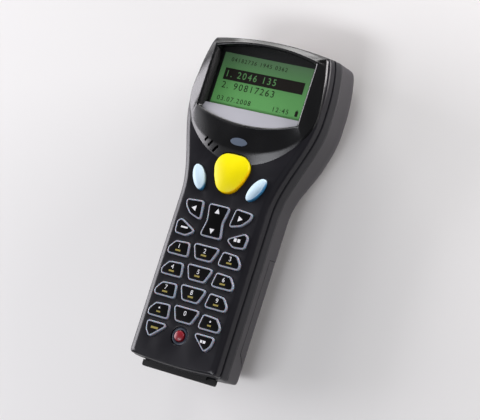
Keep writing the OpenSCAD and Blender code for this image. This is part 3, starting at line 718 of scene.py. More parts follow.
# Each finish: its maker, its material's name, its tint or the colour setting that holds it, and its values
FINISHES = {
    "case": (moulded, "case_plastic", "case", dict(roughness=0.34, strength=0.2, Specular_IOR_Level=0.45)),
    "back": (moulded, "back_plastic", "back", dict(roughness=0.5, strength=0.3, Specular_IOR_Level=0.9)),
    "mask": (moulded, "mask_plastic", "mask", dict(roughness=0.26, strength=0.06, Specular_IOR_Level=0.45)),
    "key_cap": (moulded, "key_cap_paint", "key_cap",
                dict(roughness=0.36, grain=3800.0, strength=0.15, Specular_IOR_Level=0.12)),
    "key_rim": (moulded, "key_rim_plastic", "key_rim",
                dict(roughness=0.3, strength=0.1, variation=0.06, Subsurface_Weight=0.35, Subsurface_Scale=0.0008)),
    "legend_white": (moulded, "legend_white", (0.82, 0.82, 0.84), dict(roughness=0.5, strength=0.1, variation=0.04)),
    "legend_yellow": (moulded, "legend_yellow", (0.3, 0.24, 0.04), dict(roughness=0.5, strength=0.1, variation=0.05)),
    # The deeper tints of the scan and side buttons are painted shade on the faces turned down and to the right.
    "scan": (rubber_with_painted_shade, "scan_button_plastic", "scan", dict(deep_tint=(0.92, 0.52, 0.0), heading=(0.6, -0.75, 0.0))),
    "side": (rubber_with_painted_shade, "side_button_plastic", "side", dict(deep_tint=(0.05, 0.22, 0.42), heading=(0.7, -0.7, 0.0))),
    "ring": (moulded, "power_ring_plastic", (0.035, 0.045, 0.065), dict(roughness=0.3, strength=0.08)),
    "power": (moulded, "power_button_plastic", "power", dict(roughness=0.3, strength=0.12, variation=0.08)),
    "lens": (moulded, "status_lens_plastic", (0.12, 0.15, 0.2),
             dict(roughness=0.2, strength=0.05, variation=0.1, Coat_Weight=0.6)),
    "ink": (moulded, "display_ink", "ink", dict(roughness=0.6, strength=0.05, variation=0.1, Specular_IOR_Level=0.1)),
    "trim": (moulded, "trim_lacquer", "trim",
             dict(roughness=0.5, grain=3200.0, strength=0.08, variation=0.04, Metallic=0.15)),
    "rubber": (moulded, "seal_rubber", (0.012, 0.012, 0.013), dict(roughness=0.72, strength=0.4)),
    "mat": (moulded, "keypad_rubber", (0.022, 0.023, 0.028), dict(roughness=0.66, strength=0.3)),
    "frame": (moulded, "frame_plastic", (0.006, 0.006, 0.006), dict(roughness=0.55, Specular_IOR_Level=0.25)),
    "chip": (moulded, "chip_epoxy", (0.014, 0.014, 0.016), dict(roughness=0.5, grain=1500.0)),
    "board": (moulded, "board_mask", (0.015, 0.11, 0.05), dict(roughness=0.32, grain=700.0, variation=0.3)),
    "milky": (moulded, "diffuser_plastic", (0.72, 0.76, 0.68), dict(roughness=0.4, strength=0.1, variation=0.04)),
    "battery": (moulded, "battery_sleeve", (0.05, 0.075, 0.13), dict(roughness=0.34, strength=0.12)),
    "engine": (moulded, "engine_plastic", (0.03, 0.032, 0.038), dict(roughness=0.4)),
    "pane": (clear_pane, "scan_pane", (0.05, 0.006, 0.008), dict(roughness=0.06, alpha=0.82)),
    "window": (clear_pane, "window_pane", (0.03, 0.04, 0.035), dict(roughness=0.05, alpha=0.07)),
    "steel": (metal, "steel", (0.62, 0.63, 0.65), dict(roughness=0.32, stretch=(1.0, 0.05, 1.0))),
    "gold": (metal, "gold_plating", (0.83, 0.6, 0.25), dict(roughness=0.28, stretch=(1.0, 0.1, 1.0))),
    "display": (display_green, "display_glass", "display", {}),
}


@lru_cache(maxsize=None)
def finish(name):
    """A finish by name, made once."""
    maker, title, tint, values = FINISHES[name]
    return maker(title, getattr(settings("colours"), tint) if isinstance(tint, str) else tint, **values)


# ---------------- the front moulding

LINER_STEPS = 5
EDGE_R = 0.3 * MM
FACET_EDGE = [1.15 * MM, 1.0 * MM]
FACET_EASES = (0.5 * MM, 1.1 * MM)
EASE_STEPS = 7
# Insets and rises in millimetres, about the groove's middle and over the parting line
GROOVE_STEPS = [(0.64, 0.52), (0.76, 0.38), (1.0, 0.32), (1.36, 0.29), (1.42, 0.2), (1.42, -0.2), (1.36, -0.3),
                (0.8, -0.48), (0.4, -0.66), (0.3, -0.85), (0.24, -1.4)]
FOOT_STEPS = [(0.05, 1.2), (0.0, 0.5), (0.06, 0.28), (0.35, 0.0)]
RING_SEAT = 0.9 * MM
WINDOW_POINTS = 240
WINDOW_SOFTNESS = 0.35 * MM
WINDOW_REBATE = 1.2
WINDOW_SIDE_POINTS, WINDOW_EDGE_POINTS = 20, 61
LENS_GAP = 0.2


def face_z():
    """Height of the keypad's flat face."""
    return RIM_Z - settings("case").face_drop


def bend(a, corner, b, t):
    """A quadratic curve from a to b, pulled out toward a corner."""
    return a * (1.0 - t) ** 2 + 2.0 * corner * t * (1.0 - t) + b * t ** 2


def crown_profile():
    """Insets and heights from the flat face over a broad facet, which falls evenly, and round to the side.

    A quadratic curve eases each edge of the facet.
    """
    margin = settings("case").flat_margin
    corners = np.array([[margin + SIDE_INSET, 0.0], [margin, 0.0], FACET_EDGE, [SIDE_INSET, face_z() - GROOVE_TOP_Z]])
    steps = []
    for k, ease in enumerate(FACET_EASES, 1):
        before, after = corners[k - 1] - corners[k], corners[k + 1] - corners[k]
        a = corners[k] + before * ease / np.linalg.norm(before)
        b = corners[k] + after * ease / np.linalg.norm(after)
        steps += [bend(a, corners[k], b, t) for t in np.linspace(0.0, 1.0, EASE_STEPS)]
    return [(inset, face_z() - drop) for inset, drop in [*steps, corners[3]]]


def side_profile():
    """Insets and heights from the groove down to the parting line: eased lips, a square floor, and a chamfer."""
    groove_z = face_z() - settings("case").groove_drop
    return [(inset * MM, z + rise * MM) for steps, z in ((GROOVE_STEPS, groove_z), (FOOT_STEPS, PARTING_Z))
            for inset, rise in steps]


def well_profile(depth):
    """Growths and heights of a well's liner: a quarter round at the face, then straight down."""
    turn = np.linspace(0.0, pi / 2, LINER_STEPS)
    edge = [(EDGE_R * (1.0 - sin(t)), face_z() - EDGE_R * (1.0 - cos(t))) for t in turn]
    return edge + [(0.0, face_z() - depth)]


def inside(points, loops):
    """Which points lie within an odd number of the loops, by counting the edges to the right of each."""
    count = np.zeros(len(points), int)
    x, y = points[:, :1], points[:, 1:]
    for a in loops:
        b = np.roll(a, -1, axis=0)
        spans = (a[:, 1] > y) != (b[:, 1] > y)
        rise = np.where(b[:, 1] == a[:, 1], 1e-12, b[:, 1] - a[:, 1])
        cross = a[:, 0] + (y - a[:, 1]) * (b[:, 0] - a[:, 0]) / rise
        count += (spans & (cross > x)).sum(axis=1)
    return count % 2 == 1


def sheet_with_holes(loops, z):
    """A flat face bounded by the first loop and pierced by the others, by constrained triangulation."""
    edges, first = [], 0
    for loop in loops:
        n = len(loop)
        edges += [(first + i, first + (i + 1) % n) for i in range(n)]
        first += n
    points, _, faces, _, _, _ = delaunay_2d_cdt([Vector(p) for p in np.vstack(loops)], edges, [], 0, 1e-9)
    points, faces = np.array([[p.x, p.y] for p in points]), np.array([list(f) for f in faces])
    keep = inside(points[faces].mean(axis=1), loops)
    return at_height(points, z), faces[keep].tolist()


def liner(outline_at, profile):
    """Walls of a well: an outline grown by each step of a profile and set at its height."""
    return stack([at_height(outline_at(grow / MM), z) for grow, z in profile])


def face_loop(side, edge, bow, arch_points, z, count, softness):
    """A closed ring of the face, from the middle of its low edge up the left side and round over the top.

    The side runs down the right from the top and the edge runs on to the left. The top is an arch: v runs from
    -1 to 1 and the point is (top x times v, top y plus bow times (1 - v squared)).
    """
    v = np.linspace(-1.0, 1.0, arch_points)[1:-1, None]
    arch = np.hstack([side[0, 0] * v, side[0, 1] + bow * (1.0 - v ** 2)])
    loop = at_height(np.vstack([side, edge, side[::-1] * [-1.0, 1.0], arch]) + [0.0, start_y()], z)
    return even(np.roll(loop, -len(side) - len(edge) // 2, axis=0), count, softness)


def window_outline(grow, z, count=WINDOW_POINTS, draft=0.0):
    """The window's outline: straight sides, an arched top, and a lower edge that sags by (1 - u squared).

    u is the cosine of an even turn across the edge. The draft draws the sides alone toward the middle.
    """
    sizes = settings("display")
    top = case_length() - sizes.window_margin
    half = sizes.window_width / 2 + grow - draft
    t = np.linspace(0.0, 1.0, WINDOW_SIDE_POINTS)[:, None]
    side = np.hstack([np.full_like(t, half), top + grow - t * (sizes.window_length + grow)])
    u = np.cos(np.linspace(0.0, pi, WINDOW_EDGE_POINTS))[1:-1, None]
    edge = np.hstack([half * u, top - sizes.window_length - (sizes.window_drop + grow) * (1.0 - u ** 2)])
    return face_loop(side, edge, sizes.window_bow, WINDOW_EDGE_POINTS, z, count, WINDOW_SOFTNESS)


class TERMINAL_OT_front_case(bpy.types.Operator):
    """Front moulding: a stack of outlines round a flat face that wells pierce, closed by its inner skin"""
    bl_idname = "terminal.front_case"
    bl_label = "Front case"

    def execute(self, context):
        case = settings("case")
        gap, inner_z = case.gap / MM, face_z() - case.wall
        rings = [front_ring(inset, height) for inset, height in crown_profile() + side_profile()]
        rings += [ring(case.wall, PARTING_Z), ring(case.wall, inner_z)]
        power, inward = key_place("key_power"), (POWER_WELL_R - POWER_R - gap) * MM
        seat = well_profile(RING_SEAT) + [(-inward, face_z() - RING_SEAT), (-inward, inner_z)]
        outlines = [lambda grow, n=name: key_at(n, gap + grow) for name in KEY_KINDS if name != "key_power"]
        wells = [(outline, well_profile(case.wall)) for outline in outlines]
        wells.append((lambda grow: disc(POWER_WELL_R + grow) * MM + power, seat))
        outlines = [lambda grow: lens_at(LENS_GAP + grow)]
        outlines += [lambda grow, s=slot: slot_at(s, grow) for slot in SOUND_SLOTS]
        outlines.append(lambda grow: window_outline((WINDOW_REBATE + grow) * MM, 0.0)[:, :2])
        wells += [(outline, well_profile(case.wall)) for outline in outlines]
        parts = [stack(rings)]
        for k, z in ((0, face_z()), (-1, inner_z)):
            loops = [rings[k][:, :2]] + [outline_at(steps[k][0] / MM) for outline_at, steps in wells]
            parts.append(sheet_with_holes(loops, z))
        parts += [liner(outline_at, steps) for outline_at, steps in wells]
        piece = make_piece("front_case", joined(parts), finish("case"), merge=10 * MERGE)
        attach(piece, "case")
        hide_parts("front_shell")
        return {"FINISHED"}


# ---------------- the mask round the window

MASK_POINTS = 480
MASK_SIDE_POINTS, MASK_EDGE_POINTS, MASK_ARCH_POINTS = 60, 121, 81
MASK_SOFTNESS = 0.8 * MM
FLOOR_LIFT = 0.02 * MM
CUTTER_PAST = 4.0 * MM
SLACK = 0.02
# Distances of the foot and of the crease from the head's end, from the shoulder and past the scan button's middle
FOOT_END, FOOT_SHOULDER, FOOT_BUTTON = 0.9 * MM, 3.0 * MM, 2.0 * MM
CREASE_END, CREASE_SHOULDER, CREASE_BUTTON = 1.6 * MM, 2.0 * MM, 11.6 * MM
FOOT_INSET, FOOT_DEPTH = 1.3 * MM, 2.2 * MM
CREASE_TOP_INSET, CREASE_LOW_INSET, CREASE_DEPTH = 2.2 * MM, 1.6 * MM, 1.4 * MM
FOOT_POWERS, CREASE_POWERS, CREASE_SIDE_POWER = (1.6, 1.8), (2.25, 2.0), 1.6
# Where along Y each of them starts to rise toward the handle, over what length, and how far it rises
FOOT_RISE, CREASE_RISE = (46.0 * MM, 12.0 * MM, 1.4 * MM), (50.0 * MM, 14.0 * MM, 0.4 * MM)
SIDE_FALL_FROM, SIDE_FALL_OVER = 14.0 * MM, 18.0 * MM


def mask_ring(x, s, low_s, powers, z):
    """A ring of the mask from the places down its right side, its low station and its height.

    The low edge is a superellipse: a larger first power flattens it and a larger second one squares its corners.
    """
    u = np.cos(np.linspace(0.0, pi, MASK_EDGE_POINTS))[1:-1, None]
    drop = (s[-1] - low_s) * (1.0 - np.abs(u) ** powers[0]) ** (1.0 / powers[1])
    edge = np.hstack([x[-1] * u, s[-1] - drop])
    bow = settings("case").top_bow
    return face_loop(np.column_stack([x, s]), edge, bow, MASK_ARCH_POINTS, z, MASK_POINTS, MASK_SOFTNESS)


def rounded_between(before, corner, after, near, far, steps):
    """Rings that turn a crease: a quadratic curve from part of the way before it to part of the way after it."""
    t = np.linspace(0.0, 1.0, steps)[:, None, None]
    return list(bend(corner + (before - corner) * near, corner, corner + (after - corner) * far, t))


def raise_low_end(ring_points, start, over, amount):
    """Lifts a ring toward the handle by a smooth step along Y."""
    ring_points[:, 2] += amount * smooth((start - ring_points[:, 1]) / over)


def mask_rings():
    """The mask's rings from its buried foot, over the crease and the rim, and down the window's well."""
    case, display, total = settings("case"), settings("display"), case_length()
    shoulder = case.waist + case.flare
    button = key_place("scan_button")[1] - start_y()
    t = np.linspace(0.0, 1.0, MASK_SIDE_POINTS)
    top = total - FOOT_END
    s = top - t * (top - (shoulder - FOOT_SHOULDER))
    foot = mask_ring(half_width(s) - FOOT_INSET, s, button + FOOT_BUTTON, FOOT_POWERS, face_z() - FOOT_DEPTH)
    raise_low_end(foot, *FOOT_RISE)
    top_x, low_x = half_width(total) - CREASE_TOP_INSET, half_width(shoulder) - CREASE_LOW_INSET
    x, top = low_x - (low_x - top_x) * (1.0 - t) ** CREASE_SIDE_POWER, total - CREASE_END
    s = top - t * (top - (shoulder + CREASE_SHOULDER))
    crease = mask_ring(x, s, button + CREASE_BUTTON, CREASE_POWERS, RIM_Z - CREASE_DEPTH)
    crease[:, 2] -= display.side_fall * smooth((np.abs(crease[:, 0]) - SIDE_FALL_FROM) / SIDE_FALL_OVER)
    raise_low_end(crease, *CREASE_RISE)
    part_draft = display.wall_draft * 0.8 * MM / (RIM_Z - WINDOW_Z)
    rim, lip, edge, well, floor, under = (window_outline(grow * MM, z, MASK_POINTS, draft) for grow, z, draft in (
        (1.15, RIM_Z - 0.2 * MM, 0.0), (0.8, RIM_Z, 0.0), (0.0, RIM_Z - 0.34 * MM, 0.0),
        (0.0, RIM_Z - 0.8 * MM, part_draft), (0.0, WINDOW_Z + FLOOR_LIFT, display.wall_draft),
        (1.0, WINDOW_Z + FLOOR_LIFT, 0.0)))
    rings = [foot] + rounded_between(foot, crease, rim, 0.16, 0.05, 9)
    rings += [crease + (rim - crease) * k for k in np.linspace(0.1, 1.0, 9)[1:-1]]
    rings += rounded_between(crease, rim, lip, 0.06, 0.5, 5)
    rings += rounded_between(rim, lip, edge, 0.4, 0.25, 4)
    rings += rounded_between(lip, edge, well, 0.2, 0.4, 5)
    return rings + [well, floor, under]


class TERMINAL_OT_face_mask(bpy.types.Operator):
    """Raised face round the window, pierced by the scan button's well, the status light and the sound slots"""
    bl_idname = "terminal.face_mask"
    bl_label = "Face mask"

    def execute(self, context):
        piece = make_piece("face_mask", hoop(mask_rings()), finish("mask"))
        outlines = [key_at("scan_button", settings("case").gap / MM + SLACK), lens_at(LENS_GAP + SLACK)]
        outlines += [slot_at(slot, SLACK) for slot in SOUND_SLOTS]
        z0, z1 = face_z() - CUTTER_PAST, RIM_Z + CUTTER_PAST
        carve(piece, joined([prism(outline, z0, z1) for outline in outlines]))
        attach(piece, "case")
        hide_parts("front_shell")
        return {"FINISHED"}


# ---------------- the rear moulding and the battery cover

CORNER_STEPS = 16
TRAY_T, TRAY_OVER = 1.4 * MM, 0.3 * MM
PANE_POCKET = 6.0 * MM
PANE_LIPS = (1.9 * MM, 1.4 * MM)
SCREW_HEAD_R = 2.2
SCREW_HEAD_EDGE = 1.7 * MM
COVER_SLANT = 10.0 * MM
BULKHEAD_GAP, BULKHEAD_T = 4.5 * MM, 1.5 * MM
BAY_START = 9.0 * MM
PAST_HEAD = 9.0 * MM
COVER_SKIN_LESS = 0.2 * MM
# The tabs' outline from the side, in millimetres from the cover's far edge and its inner face
TAB = [(-2.7, -1.0), (-1.0, -1.0), (-1.0, 0.4), (3.2, 0.4), (3.6, 0.8), (3.6, 1.6), (3.2, 2.0), (-2.7, 2.0)]
TAB_X, TAB_HALF = 14.0 * MM, 4.0 * MM
RIB_START, RIB_PITCH, RIBS, RIB_T = 13.0, 8.0, 5, 1.0 * MM


def back_solid(skin=0.0):
    """The rear half of the case as one closed solid, or the hollow that a wall of that skin leaves.

    Its outlines run from the parting line round the long corners to the flat back.
    """
    rings = [front_ring(skin, PARTING_Z + 1.0 * MM)] if skin else [
        front_ring(0.35 * MM, PARTING_Z), front_ring(0.06 * MM, PARTING_Z - 0.28 * MM)]
    rings += [back_ring(turn, skin) for turn in np.linspace(0.0, pi / 2, CORNER_STEPS)]
    points, faces = stack(rings)
    return points, faces + across(RING_POINTS) + across(RING_POINTS, len(points) - RING_POINTS)


def cover_start():
    """Where the battery cover's lower edge lies along Y."""
    return start_y() + settings("case").cover_station


def cover_part(grow):
    """The cover's outline from the side, carried across: its lower edge slants back toward the handle's end."""
    case, y0 = settings("case"), cover_start()
    y1, seam, under = y0 + case.cover_length + grow, case.cover_height + grow, -1.0 * MM
    return profile_prism([[y0 - grow, under], [y0 - grow, case.handle_lift], [y0 + COVER_SLANT - grow, seam],
                          [y1, seam], [y1, under]], case.head_width)


def screw_places():
    """Each screw's middle and the height of its head's seat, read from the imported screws."""
    points = coordinates(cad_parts["case_screws"].data)
    middle = points[:, 1].mean()
    found = []
    for right in (False, True):
        for head_end in (False, True):
            own = points[((points[:, 0] > 0) == right) & ((points[:, 1] > middle) == head_end)]
            x, y = centre(own[:, :2])
            head = own[np.hypot(own[:, 0] - x, own[:, 1] - y) > SCREW_HEAD_EDGE]
            found.append((x, y, head[:, 2].max()))
    return found


class TERMINAL_OT_rear_case(bpy.types.Operator):
    """Rear moulding: the back's rounded solid, hollowed, with the battery bay, scan window and screw wells cut"""
    bl_idname = "terminal.rear_case"
    bl_label = "Rear case"

    def execute(self, context):
        case, wide = settings("case"), settings("case").head_width
        piece = make_piece("rear_case", back_solid(), finish("back"))
        carve(piece, cover_part(case.gap))
        bulkhead = cover_start() + case.cover_length + BULKHEAD_GAP
        far = case_length() + start_y() + PAST_HEAD
        hollow = make_piece("hollow", back_solid(case.wall))
        tray_z = PARTING_Z + TRAY_OVER - TRAY_T
        rooms = [box_part(-wide, wide, bulkhead + BULKHEAD_T, far, 0.0, RIM_Z),
                 box_part(-wide, wide, cover_start() + BAY_START, bulkhead, 0.0, tray_z)]
        carve(hollow, joined(rooms), "INTERSECT")
        carve(piece, hollow)
        for cutter in self.end_cutters():
            carve(piece, cutter)
        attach(piece, "case")
        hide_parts("rear_shell")
        return {"FINISHED"}

    def end_cutters(self):
        """Cutters for the scan window and its pocket, the dock connector's neck and the four screw wells."""
        a, b = box("scan_window")
        lip, sill = PANE_LIPS
        slack = 0.1 * MM
        neck_a, neck_b = box("dock_connector")
        neck_half, neck_z = neck_b.x - 4.0 * MM, (neck_a.z + neck_b.z) / 2
        cutters = [box_part(a.x + lip, b.x - lip, a.y - PANE_POCKET, b.y + PAST_HEAD, a.z + sill, b.z - sill),
                   box_part(a.x - slack, b.x + slack, a.y - PANE_POCKET - slack, b.y, a.z - slack, b.z + slack),
                   box_part(-neck_half, neck_half, neck_a.y - 1.0 * MM, neck_b.y + 1.0 * MM, neck_z - 2.55 * MM,
                            PARTING_Z + 1.0 * MM)]
        return cutters + [prism(disc(SCREW_HEAD_R, 36) * MM + [x, y], -1.0 * MM, top) for x, y, top in screw_places()]


class TERMINAL_OT_battery_cover(bpy.types.Operator):
    """Battery cover: the back of the handle under its side seam, hollowed, with two tabs and inner ribs"""
    bl_idname = "terminal.battery_cover"
    bl_label = "Battery cover"

    def execute(self, context):
        case, wide = settings("case"), settings("case").head_width
        piece = make_piece("back_cover", back_solid(), finish("back"))
        carve(piece, cover_part(0.0), "INTERSECT")
        carve(piece, back_solid(case.wall - COVER_SKIN_LESS))
        end, inner = cover_start() + case.cover_length, case.handle_lift + case.wall
        carve(piece, box_part(-wide, wide, end - 1.0 * MM, end + 1.0 * MM, -1.0 * MM, inner + 0.1 * MM))
        parts = [profile_prism(np.array(TAB) * MM + [end, inner], TAB_HALF, x) for x in (-TAB_X, TAB_X)]
        rib_half = case.handle_width / 2 - case.wall - 3.0 * MM
        for i in range(RIBS):
            y = cover_start() + (RIB_START + RIB_PITCH * i) * MM
            parts.append(box_part(-rib_half, rib_half, y, y + RIB_T, inner - 0.6 * MM, inner + 0.4 * MM))
        carve(piece, joined(parts), "UNION")
        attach(piece, "battery_cover")
        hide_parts("battery_cover")
        return {"FINISHED"}


# ---------------- keys

SQUARE = np.array([[-1.0, -1.0], [1.0, -1.0], [1.0, 1.0], [-1.0, 1.0]])
BEVEL_START = 0.62 * MM
BEVEL_R = 0.5
BEVEL_TURN, DOME_TURN = radians(62.0), radians(72.0)
CAP_DROP = 0.09 * MM
DIGIT_SHIFT = 0.75 * MM
UNDERLINE = (0.0, -1.35, 1.5, 0.4)
CAP_SHARES = (0.97, 0.9, 0.75, 0.5, 0.25)
MARK_HALF_T = 0.02 * MM
CAPITAL_SHARE = 0.69


def key_rings(name):
    """A key's outlines from its flange up its stem, over the pale bevel and across its crowned cap.

    The crown rises by (1 - x squared) times (1 - y squared), with x and y from -1 to 1 across the cap.
    """
    keypad = settings("keypad")
    bevel, top, base = keypad.bevel / MM, KEY_TOP_Z, low("keypad_mat", 2)
    flange_top = base + (ROCKER_FLANGE if name == "key_updown" else KEY_FLANGE)
    steps = [(FLANGE, base), (FLANGE, flange_top), (0.0, flange_top), (0.0, top - BEVEL_START)]
    steps += [(-BEVEL_R * (1 - cos(t)), top - BEVEL_START + BEVEL_R * sin(t) * MM)
              for t in np.linspace(0.0, BEVEL_TURN, 6)[1:]]
    steps += [(-bevel + 0.1, top - 0.07 * MM), (-bevel, top - 0.1 * MM), (-bevel - 0.05, top - 0.03 * MM)]
    rings = [at_height(key_at(name, grow), z) for grow, z in steps]
    edge = rings[-1][:, :2]
    middle, half = centre(edge), (edge.max(axis=0) - edge.min(axis=0)) / 2
    for share in CAP_SHARES:
        loop = middle + (edge - middle) * share
        rise = (1.0 - ((loop - middle) / half) ** 2).prod(axis=1)
        rings.append(np.column_stack([loop, top + keypad.crown * rise]))
    return rings


def make_key(name):
    """A key with a translucent body and a painted cap."""
    piece = make_piece(name + "_top", capped(key_rings(name)), finish("key_rim"), finish("key_cap"))
    faces = piece.data.polygons
    cap = np.array([p.center[2] > KEY_TOP_Z - CAP_DROP and p.normal[2] > 0.1 for p in faces])
    faces.foreach_set("material_index", cap.astype(np.int32))
    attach(piece, name)
    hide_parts(name)


def digits(name, text, height, place, material, body, spacing=1.0):
    """A row of digits as a thin mesh, which rides on a body."""
    curve = bpy.data.curves.new(name, "FONT")
    curve.body = text
    curve.align_x, curve.align_y = "CENTER", "CENTER"
    curve.size = height / CAPITAL_SHARE
    curve.space_character = spacing
    curve.extrude = MARK_HALF_T
    holder = bpy.data.objects.new(name + "_curve", curve)
    bpy.context.scene.collection.objects.link(holder)
    mesh = evaluated_mesh(holder)
    bpy.data.objects.remove(holder)
    bpy.data.curves.remove(curve)
    mesh.name = name
    mesh.transform(Matrix.Translation(place))
    piece = link(name, mesh, material)
    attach(piece, body)
    return piece


def flat_mark(name, outlines, z, material, body):
    """Thin prisms from flat outlines, as one piece on a body."""
    parts = [prism(outline, z - MARK_HALF_T, z + MARK_HALF_T) for outline in outlines]
    piece = link(name, make_mesh(name, *joined(parts)), material)
    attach(piece, body)
    return piece


def bar(middle, x, y, half_x, half_y):
    """A bar with square ends, in millimetres about a middle."""
    return SQUARE * np.array([half_x, half_y]) * MM + (middle + np.array([x, y]) * MM)


def arrow(middle, x, y, half, heading):
    """A triangle that points along a heading, in millimetres about a middle."""
    a = heading + np.array([0.0, 2.2, -2.2])
    reach = half * MM * np.array([1.0, 1.15, 1.15])
    return np.stack([reach * np.cos(a), reach * np.sin(a)], axis=1) + (middle + np.array([x, y]) * MM)


# Arrows, and plain bars where other keys carry words: (piece, key, finish, shape, a row of sizes for each outline)
MARKS = [
    ("key_left_arrow", "key_left", "legend_white", arrow, [(0.3, 0.1, 1.5, pi)]),
    ("key_right_arrow", "key_right", "legend_white", arrow, [(-0.3, 0.1, 1.5, 0.0)]),
    ("updown_arrows", "key_updown", "legend_white", arrow, [(0.0, 4.9, 1.5, pi / 2), (0.0, -4.9, 1.5, -pi / 2)]),
    ("escape_bar", "key_escape", "legend_white", bar, [(0.0, 0.0, 2.0, 0.42)]),
    ("back_marks", "key_back", "legend_white", bar, [(-1.0, 0.0, 0.75, 0.8), (1.0, 0.0, 0.75, 0.8)]),
    ("alpha_bar", "key_alpha", "legend_yellow", bar, [(0.0, 0.6, 2.1, 0.5)]),
    ("function_marks", "key_function", "legend_white", bar, [(-0.8, 0.4, 0.6, 0.65), (0.9, 0.4, 0.7, 0.65)]),
    ("key_low_left_dot", "key_low_left", "legend_white", arrow, [(0.0, 0.9, 0.6, pi / 2)]),
    ("key_low_left_bar", "key_low_left", "legend_yellow", bar, [(0.0, -1.1, 1.1, 0.36)]),
    ("key_low_right_dot", "key_low_right", "legend_white", arrow, [(0.0, 0.9, 0.6, pi / 2)]),
    ("key_low_right_bar", "key_low_right", "legend_yellow", bar, [(0.0, -1.1, 1.1, 0.36)]),
]


class TERMINAL_OT_keys(bpy.types.Operator):
    """Eighteen keys and the up and down rocker, each with a pale body, a black cap and its mark"""
    bl_idname = "terminal.keys"
    bl_label = "Keys"

    def execute(self, context):
        for name, kind in KEY_KINDS.items():
            if kind in CAPPED_KINDS:
                make_key(name)
        keypad = settings("keypad")
        z = KEY_TOP_Z + keypad.crown + MARK_HALF_T
        for digit in "0123456789":
            key = "key_" + digit
            x, y = middle = centre(key_at(key, -1.0))
            place = (x, y + DIGIT_SHIFT, z)
            digits("digit_" + digit, digit, keypad.legend_height, place, finish("legend_white"), key)
            if digit != "0":
                flat_mark("underline_" + digit, [bar(middle, *UNDERLINE)], z, finish("legend_yellow"), key)
        for mark, key, material, shape, rows in MARKS:
            middle = centre(key_at(key, -1.0))
            flat_mark(mark, [shape(middle, *row) for row in rows], z, finish(material), key)
        return {"FINISHED"}


# Button, radius of its edge and drop from its crown to its side in millimetres, finish and slot
BUTTONS = [("scan_button", 1.1, 1.3, "scan", "scan_key"), ("side_button_left", 0.9, 0.8, "side", "pale_key"),
           ("side_button_right", 0.9, 0.8, "side", "pale_key"), ("key_power", 0.5, 0.4, "power", "red_key")]


def domed(name, edge_r, drop, material):
    """A domed button: rings shrink toward the middle as the height climbs by a square law from a rounded edge."""
    top, floor = high(name, 2), low("keypad_mat", 2)
    side_top = top - drop
    steps = [(FLANGE, floor), (FLANGE, floor + KEY_FLANGE), (0.0, floor + KEY_FLANGE), (0.0, side_top - edge_r)]
    steps += [(-edge_r / MM * (1.0 - cos(t)), side_top - edge_r * (1.0 - sin(t)))
              for t in np.linspace(0.0, DOME_TURN, 8)[1:]]
    rings = [at_height(key_at(name, grow), z) for grow, z in steps]
    middle, edge, edge_z = key_place(name), rings[-1][:, :2], steps[-1][1]
    rings += [at_height(middle + (edge - middle) * share, edge_z + (top - edge_z) * (1.0 - share ** 2))
              for share in np.linspace(1.0, 0.08, 16)[1:]]
    piece = make_piece(name + "_top", capped(rings), material)
    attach(piece, name)
    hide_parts(name)


class TERMINAL_OT_buttons(bpy.types.Operator):
    """Yellow scan button, two pale oval buttons and the red power button"""
    bl_idname = "terminal.buttons"
    bl_label = "Buttons"

    def execute(self, context):
        for name, edge_r, drop, material, slot in BUTTONS:
            domed(name, edge_r * MM, drop * MM, finish(material))
        return {"FINISHED"}


# ---------------- display, painted shadow strip and power ring

PRINT_OPENING = np.array([26.1, 13.9])
PRINT_GROW, PRINT_UNDER, PRINT_T = 1.1 * MM, 0.02 * MM, 0.05 * MM
# The dark strip in the gap at the handle's end is painted shade: its shortening at the ends, its points and its
# section
SHADOW_STRIP_SHORT, SHADOW_STRIP_POINTS = 0.4 * MM, 61
INK_LIFT = 0.03 * MM
SHADOW_STRIP_SECTION = [(1.2, -0.8), (-0.75, -0.8), (-0.75, 0.6), (1.2, 0.6)]
RING_MIDDLE = 3.72
RING_HALF = 0.78
RING_RISE, RING_BASE = 0.55 * MM, 0.95 * MM
DIGIT_SPACING = 1.3
# Piece, text, left end, station, share of the digit height, finish and lift, in millimetres
DISPLAY_ROWS = [
    ("bar_digits", "1. 2046 135", -21.5, 145.0, 1.0, "display", 0.03),
    ("row_digits", "2. 90817263", -22.5, 139.2, 1.0, "ink", 0.0),
    ("date_digits", "03.07.2008", -23.0, 132.4, 0.72, "ink", 0.0),
    ("time_digits", "12:45", 10.0, 132.2, 0.72, "ink", 0.0),
    ("top_digits", "04182736 1945 0362", -21.5, 152.4, 0.62, "ink", 0.0),
]


class TERMINAL_OT_window_print(bpy.types.Operator):
    """Black print under the window: a thin sheet with the window's outline and a square-cornered opening"""
    bl_idname = "terminal.window_print"
    bl_label = "Window print"

    def execute(self, context):
        opening = SQUARE * PRINT_OPENING * MM + box_middle("lcd_panel") * [0.0, 1.0]
        outline = window_outline(PRINT_GROW, 0.0)[:, :2]
        top = low("display_window", 2) - PRINT_UNDER
        heights = (top - PRINT_T, top)
        parts = [sheet_with_holes([outline, opening], z) for z in heights]
        parts += [stack([at_height(loop, z) for z in heights]) for loop in (outline, opening)]
        piece = make_piece("window_print", joined(parts), finish("frame"), merge=MERGE / 2)
        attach(piece, "case")
        return {"FINISHED"}


